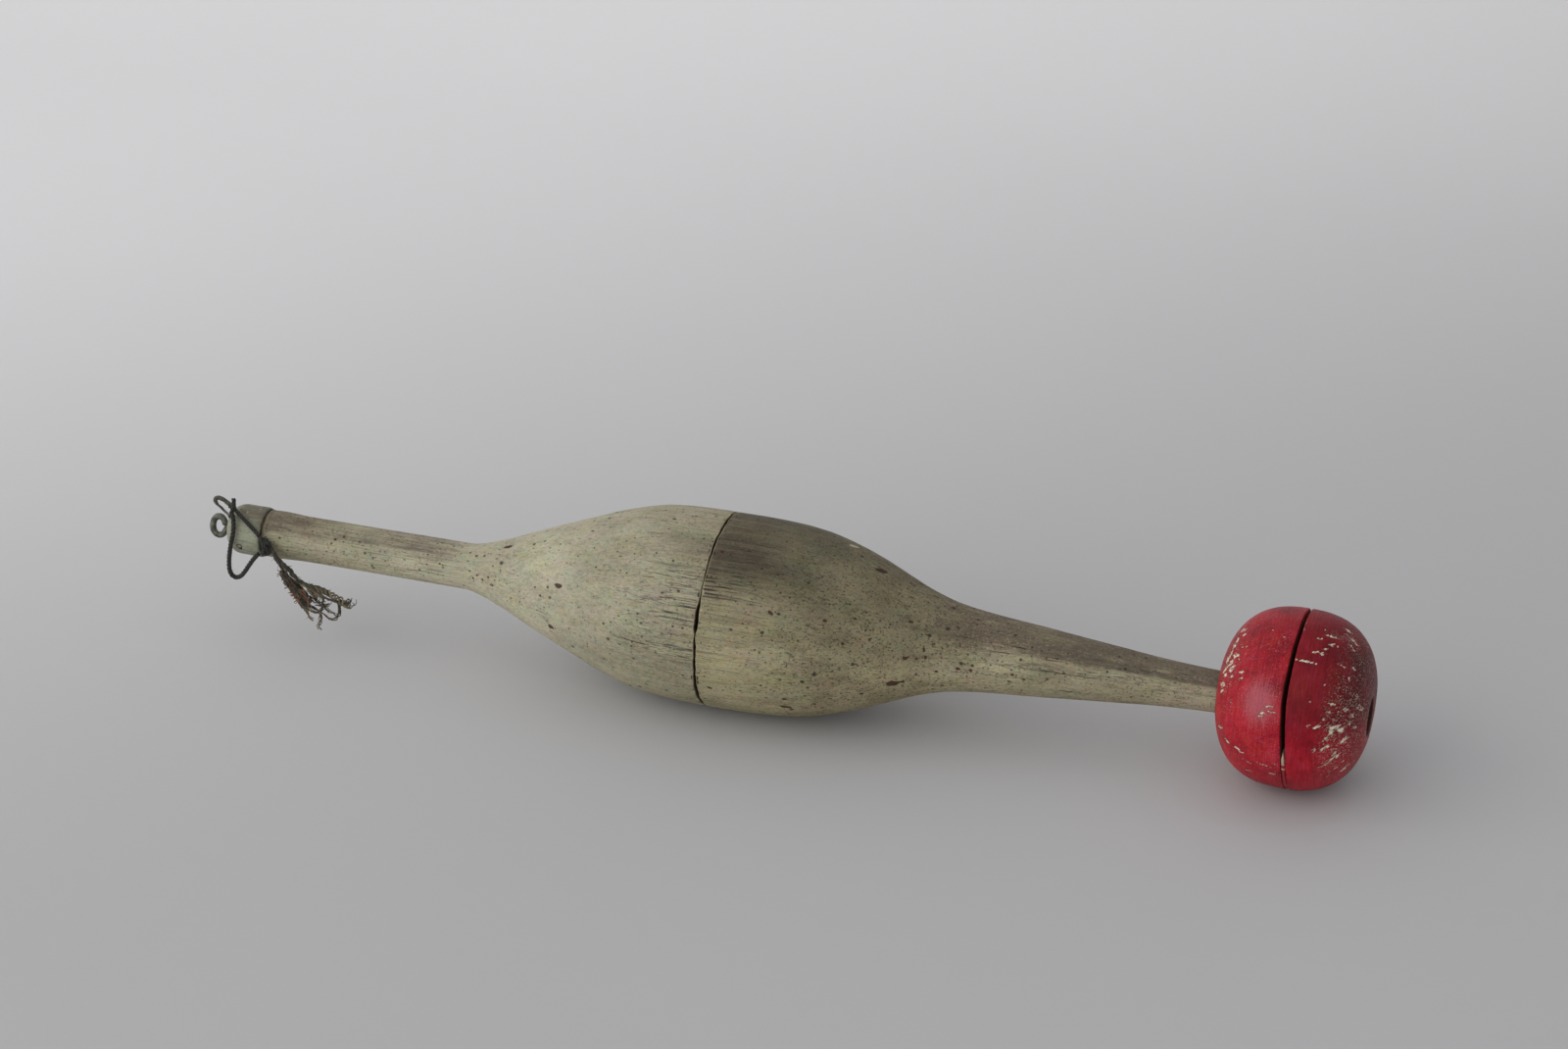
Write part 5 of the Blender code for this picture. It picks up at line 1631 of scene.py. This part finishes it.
# number of yarns, then the path of the main one
FRAYS = (
    (4, ((28.8, -8.0, -10.3), (29.8, -8.1, -10.9), (30.6, -8.2, -10.7), (31.1, -8.4, -9.7),
         (31.0, -8.6, -8.9))),
    (4, ((28.2, -8.0, -10.2), (29.2, -8.1, -11.0), (30.2, -8.3, -11.3), (31.0, -8.5, -11.0),
         (31.3, -8.6, -10.1))),
    (5, ((21.6, -8.4, -8.0), (23.7, -8.4, -9.0), (26.0, -8.5, -9.8), (28.1, -8.5, -10.1),
         (28.7, -8.6, -11.4), (28.5, -8.6, -13.0), (27.5, -8.7, -14.6), (25.9, -8.7, -14.8),
         (24.8, -8.8, -13.9), (23.6, -8.8, -13.3))),
    (5, ((20.0, -6.4, -9.2), (21.4, -6.2, -10.6), (22.0, -6.2, -12.4), (23.6, -6.1, -13.0),
         (24.9, -6.0, -14.5), (26.6, -6.0, -15.4))),
    (5, ((18.4, -7.0, -12.0), (19.4, -7.0, -12.7), (20.6, -7.0, -13.6), (22.1, -7.0, -14.0),
         (23.0, -7.0, -15.0), (23.4, -7.0, -16.5), (22.9, -7.0, -17.9), (22.8, -7.0, -18.7),
         (23.3, -7.0, -19.5))),
    (4, ((18.9, -8.0, -12.4), (19.8, -8.0, -13.4), (20.5, -8.1, -14.6), (20.7, -8.2, -15.6),
         (21.8, -8.3, -16.5))),
    (5, ((20.2, -7.2, -8.3), (20.9, -7.2, -9.4), (21.9, -7.1, -10.8), (23.1, -7.0, -10.2),
         (23.9, -7.0, -11.1), (23.4, -6.9, -12.8), (22.0, -6.8, -13.1))),
    (4, ((18.9, -5.6, -14.0), (20.2, -5.4, -15.6), (21.6, -5.4, -16.0), (22.6, -5.3, -15.4),
         (23.4, -5.2, -14.1), (24.8, -5.2, -13.2))))
BAND_SIDE = np.array((0.86, 0.0, 0.50))     # across the rear band, towards the front strand


def wander(path, amount, scale, seed):
    at = np.arange(len(path)) * scale
    stray = np.stack([noise(at, k + 0.5, seed * 3.1, seed + k) for k in range(3)], 1)
    return path + stray * amount * step(0, 0.15, np.linspace(0, 1, len(path)))[:, None]


def build_front_strand():
    """The darker part: three plies that open out towards their ends."""
    yarns = Strands()
    path = smooth_path(FRONT_STRAND, 0.16)
    plies = twist(path, 0.27, 3.4, 3, 0.5, lambda share: 1 + 1.3 * step(0.40, 1.0, share))
    share = np.linspace(0, 1, len(path))
    for k, ply in enumerate(plies):
        yarns.tube(wander(ply, 0.24, 0.10, 81 + k), 0.31 - 0.10 * step(0.4, 1.0, share), sides=9,
                   tint=0.12 + 0.32 * step(0.35, 0.9, share) + 0.07 * k, rough=0.18, seed=30 + k)
    rng = np.random.RandomState(5)
    for k in range(16):         # single yarns that peel away along it
        start = int(len(path) * rng.uniform(0.30, 0.72))
        end = min(len(path) - 1, start + int(len(path) * rng.uniform(0.12, 0.30)))
        yarn = path[start:end] + rng.normal(size=3) * 0.14
        if len(yarn) < 6:
            continue
        share = np.linspace(0, 1, len(yarn))[:, None]
        yarn = (yarn + share * rng.normal(size=3) * (0.4, 0.5, 0.5)
                + share * share * np.array((0, 0, -0.6)))
        yarns.tube(wander(yarn, 0.40, 0.16, 90 + k), 0.12 + 0.06 * rng.rand(), sides=6,
                   tint=rng.uniform(0.2, 0.66), rough=0.18, seed=k)
    fuzz(yarns, path, 0.45, 40, 33, length=(0.4, 1.2), width=0.05, tint=0.4)
    yarns.build("tail_strand_front_laid", "tassel", "tail_strand_front", YARN)


def matted_yarns(yarns, path, rng):
    """Short yarns matted into a band, many of them rusty."""
    for k in range(120):
        at = rng.uniform(0.20, 0.93) ** 0.8
        start = int(len(path) * at)
        end = min(len(path) - 1, start + rng.randint(10, 26))
        wide = 0.30 + 2.4 * float(band(at, 0.42, 0.70, 0.92, 1.10))
        offset = BAND_SIDE * (rng.uniform(-0.06, 1.0) * wide)
        offset = offset + np.array((0.0, rng.uniform(-1, 1) * (0.35 + 0.35 * at), 0.0))
        yarn = path[start:end] + offset
        if len(yarn) < 5:
            continue
        share = np.linspace(0, 1, len(yarn))[:, None]
        yarn = yarn + share * (rng.normal(size=3) * (0.5, 0.35, 0.4)
                               + np.array((0.25, 0.0, -0.05)))
        chance = (0.20 + 0.42 * float(band(at, 0.40, 0.48, 0.58, 0.66))
                  + 0.46 * float(band(at, 0.72, 0.80, 0.92, 1.0)))
        rusty = rng.rand() < chance - 0.15 * (offset @ BAND_SIDE) / 2.8
        yarns.tube(wander(yarn, 0.38, 0.22, 110 + k), rng.uniform(0.12, 0.21), sides=6,
                   tint=rng.uniform(0.70, 1.0) if rusty else rng.uniform(0.12, 0.62),
                   rough=0.22, seed=k)


def crossing_yarns(yarns, path, rng):
    """Darker yarns that cross over the rusty ones."""
    for k in range(20):
        start = int(len(path) * rng.uniform(0.30, 0.88))
        yarn = (path[start:min(len(path) - 1, start + rng.randint(14, 30))]
                + BAND_SIDE * rng.uniform(0.0, 1.6)
                + np.array((0.0, -0.75 - 0.2 * rng.rand(), 0.0)))
        if len(yarn) < 6:
            continue
        share = np.linspace(0, 1, len(yarn))[:, None]
        yarn = yarn + share * rng.normal(size=3) * (0.7, 0.15, 0.6)
        yarns.tube(wander(yarn, 0.40, 0.24, 310 + k), rng.uniform(0.11, 0.17), sides=6,
                   tint=rng.uniform(0.05, 0.42), rough=0.22, seed=k)


def stiff_ends(yarns, path, rng):
    """Short stiff ends along the band's outer edge."""
    ahead = directions(path)[0]
    share = np.linspace(0, 1, 8)
    for k in range(26):
        i = int(len(path) * rng.uniform(0.34, 0.97))
        turn = rng.uniform(0.5, 1.9)
        out = (-BAND_SIDE * math.sin(turn) + ahead[i] * math.cos(turn)
               + np.array((0.0, rng.uniform(-0.4, 0.2), 0.0)))
        yarn = path[i] + share[:, None] * out * rng.uniform(0.8, 1.9)
        yarns.tube(wander(yarn, 0.22, 0.35, 340 + k),
                   rng.uniform(0.13, 0.20) * (1 - 0.4 * share), sides=6,
                   tint=rng.uniform(0.1, 0.9), rough=0.22, seed=k)


def build_rear_strand():
    """The rusty part: a ragged band that widens downwards, towards the front strand."""
    yarns = Strands()
    path = smooth_path(REAR_STRAND, 0.16)
    rng = np.random.RandomState(6)
    plies = twist(path, 0.26, 3.6, 3, 0.9, lambda share: 1 + 1.2 * step(0.3, 1.0, share))
    share = np.linspace(0, 1, len(path))
    for k, ply in enumerate(plies):
        yarns.tube(wander(ply, 0.22, 0.10, 101 + k), 0.30 - 0.08 * share, sides=9,
                   tint=0.14 + 0.66 * step(0.22, 0.55, share), rough=0.2, seed=40 + k)
    matted_yarns(yarns, path, rng)
    crossing_yarns(yarns, path, rng)
    stiff_ends(yarns, path, rng)
    fuzz(yarns, path, 0.6, 56, 44, length=(0.4, 1.2), width=0.055, tint=0.72)
    yarns.build("tail_strand_rear_matted", "tassel", "tail_strand_rear", YARN)


def side_yarn(path, rng):
    """A stretch of the main yarn's path, moved aside."""
    share = np.linspace(0, 1, len(path))[:, None]
    path = (path + rng.normal(size=3) * (0.26, 0.28, 0.26)
            + share * rng.normal(size=3) * (0.42, 0.40, 0.42))
    start, end = sorted(rng.uniform(0, 1, 2))
    if end - start < 0.45:
        start, end = 0.0, rng.uniform(0.55, 1.0)
    first = int(len(path) * start)
    return path[first:max(first + 6, int(len(path) * end))]


def hooked(path, rng):
    """The path with a hooked or curled end added."""
    count = rng.randint(7, 12)
    ahead, across, third = (rows[-1] for rows in directions(path))
    toward = across * rng.uniform(-1, 1) + third * rng.uniform(-1, 1)
    toward /= np.linalg.norm(toward)
    turn = np.linspace(0, rng.uniform(0.6, 1.7), count)[1:, None]
    radius = rng.uniform(0.35, 0.75)
    hook = ahead * np.sin(turn) * radius + toward * (1 - np.cos(turn)) * radius
    return np.vstack([path, path[-1] + hook])


def build_frays():
    """A main yarn for each frayed end with thinner ones beside it, kinked and hooked."""
    for i, (count, points) in enumerate(FRAYS):
        yarns = Strands()
        rng = np.random.RandomState(200 + i)
        base = smooth_path(points, 0.14)
        for k in range(count):
            yarn = side_yarn(base, rng) if k else base
            yarn = wander(yarn, 0.34 if k else 0.22, rng.uniform(0.12, 0.24), 210 + 13 * i + k)
            if k > 1:
                yarn = hooked(yarn, rng)
            radius = rng.uniform(0.11, 0.17) if k else 0.21
            share = np.linspace(0, 1, len(yarn))
            tint = rng.uniform(0.14, 0.62) + 0.14 * np.sin(share * 5 + i)
            yarns.tube(yarn, radius * (1 - 0.30 * share), sides=7, tint=np.clip(tint, 0, 0.62),
                       rough=0.2, seed=k)
        fuzz(yarns, base, 0.2, 10, 250 + i, length=(0.3, 0.9), width=0.05, tint=0.5)
        yarns.build("fray_yarn_%d_curled" % (i + 1), "tassel", "fray_yarn_%d" % (i + 1),
                    YARN)


build_front_strand()
build_rear_strand()
build_frays()


# ------------------------------------------------------------------ floor, light and camera
def paper(name, colour):
    mat = Graph(name)
    place = mat.object_place()
    base = mat.mix(mat.noise(place, scale=9.0, detail=4.0, rough=0.6), scaled(colour, 0.985),
                   scaled(colour, 1.015))
    x, y, _ = mat.split(place)
    # painted light: paler away from the viewer and to the left
    base = base * mat.step(y - x * 0.80, -0.05, 0.50, low=0.82, high=1.27)
    grain = mat.noise(place, scale=220.0, rough=0.6)
    sheet = mat.principled(base, 0.92, mat.bump(grain, distance=0.0002, strength=0.25),
                           Specular_IOR_Level=0.2)
    # the sheet has one side: from behind it does not hide what lies on it
    clear = mat.add("ShaderNodeBsdfTransparent")[0]
    behind = mat.add("ShaderNodeNewGeometry")["Backfacing"]
    return mat.finish(mat.add("ShaderNodeMixShader", (behind, sheet, clear))[0])


def build_stage():
    """One sheet that lies flat and rises behind in a wide bend, in metres."""
    flat_back, bend, top, sink = 0.30, 0.30, 1.3, 0.00015
    section = [(y, 0.0) for y in np.linspace(-1.6, flat_back, 30)]
    section += [(flat_back + bend * math.sin(turn), bend * (1 - math.cos(turn)))
                for turn in np.linspace(0, math.pi / 2, 24)[1:]]
    section += [(flat_back + bend, z) for z in np.linspace(bend, top, 10)[1:]]
    across = np.linspace(-2.6, 2.6, 14)
    count = len(across)
    faces = [[i * count + j, i * count + j + 1, (i + 1) * count + j + 1, (i + 1) * count + j]
             for i in range(len(section) - 1) for j in range(count - 1)]
    mesh = bpy.data.meshes.new("paper_sweep")
    mesh.from_pydata([(x, y, z - sink) for y, z in section for x in across], [], faces)
    mesh.shade_smooth()
    sheet = bpy.data.objects.new("paper_sweep", mesh)
    mesh.materials.append(paper("pale_paper", (0.66, 0.655, 0.66)))
    bpy.context.scene.collection.objects.link(sheet)


def add_window_light():
    light = bpy.data.lights.new("window_light", "AREA")
    light.shape, light.size, light.size_y = "RECTANGLE", 3.0, 2.3
    light.energy, light.color = 24.2, (1.0, 0.985, 0.955)
    window = bpy.data.objects.new("window_light", light)
    bpy.context.scene.collection.objects.link(window)
    place, target = Vector((-1.60, -1.25, 0.98)), Vector((0.0, 0.0, 0.05))
    window.location = place
    window.rotation_euler = (target - place).to_track_quat("-Z", "Y").to_euler()


def set_world():
    room = bpy.data.worlds.new("room")
    room.use_nodes = True
    background = room.node_tree.nodes["Background"]
    background.inputs["Color"].default_value = (0.915, 0.922, 0.945, 1)
    background.inputs["Strength"].default_value = 0.630
    bpy.context.scene.world = room


def add_camera():
    data = bpy.data.cameras.new("camera")
    camera = bpy.data.objects.new("camera", data)
    bpy.context.scene.collection.objects.link(camera)
    bpy.context.scene.camera = camera
    forward = Vector((-0.24494, 0.84320, -0.47856)).normalized()
    up = Vector((-0.13578, 0.45890, 0.87805))
    place = Vector((0.245497, -0.836358, 0.521009))
    # tip the view a little about the whorl's middle
    lean = Matrix.Rotation(math.radians(0.120), 3, "Y")
    pivot = Vector(world((WHORL_MID, 0, 0)))
    forward, up, place = lean @ forward, lean @ up, lean @ (place - pivot) + pivot
    right = forward.cross(up).normalized()
    up = right.cross(forward).normalized()
    rows = [(right[k], up[k], -forward[k], place[k]) for k in range(3)]
    camera.matrix_world = Matrix((*rows, (0, 0, 0, 1)))
    data.sensor_width = 36.0
    data.lens = 102.13
    data.shift_y = -0.001
    data.clip_start, data.clip_end = 0.01, 20.0


build_stage()
add_window_light()
set_world()
add_camera()

view = bpy.context.scene.view_settings
view.view_transform = "Standard"
view.look = "None"
view.exposure = 0.0
view.gamma = 1.0
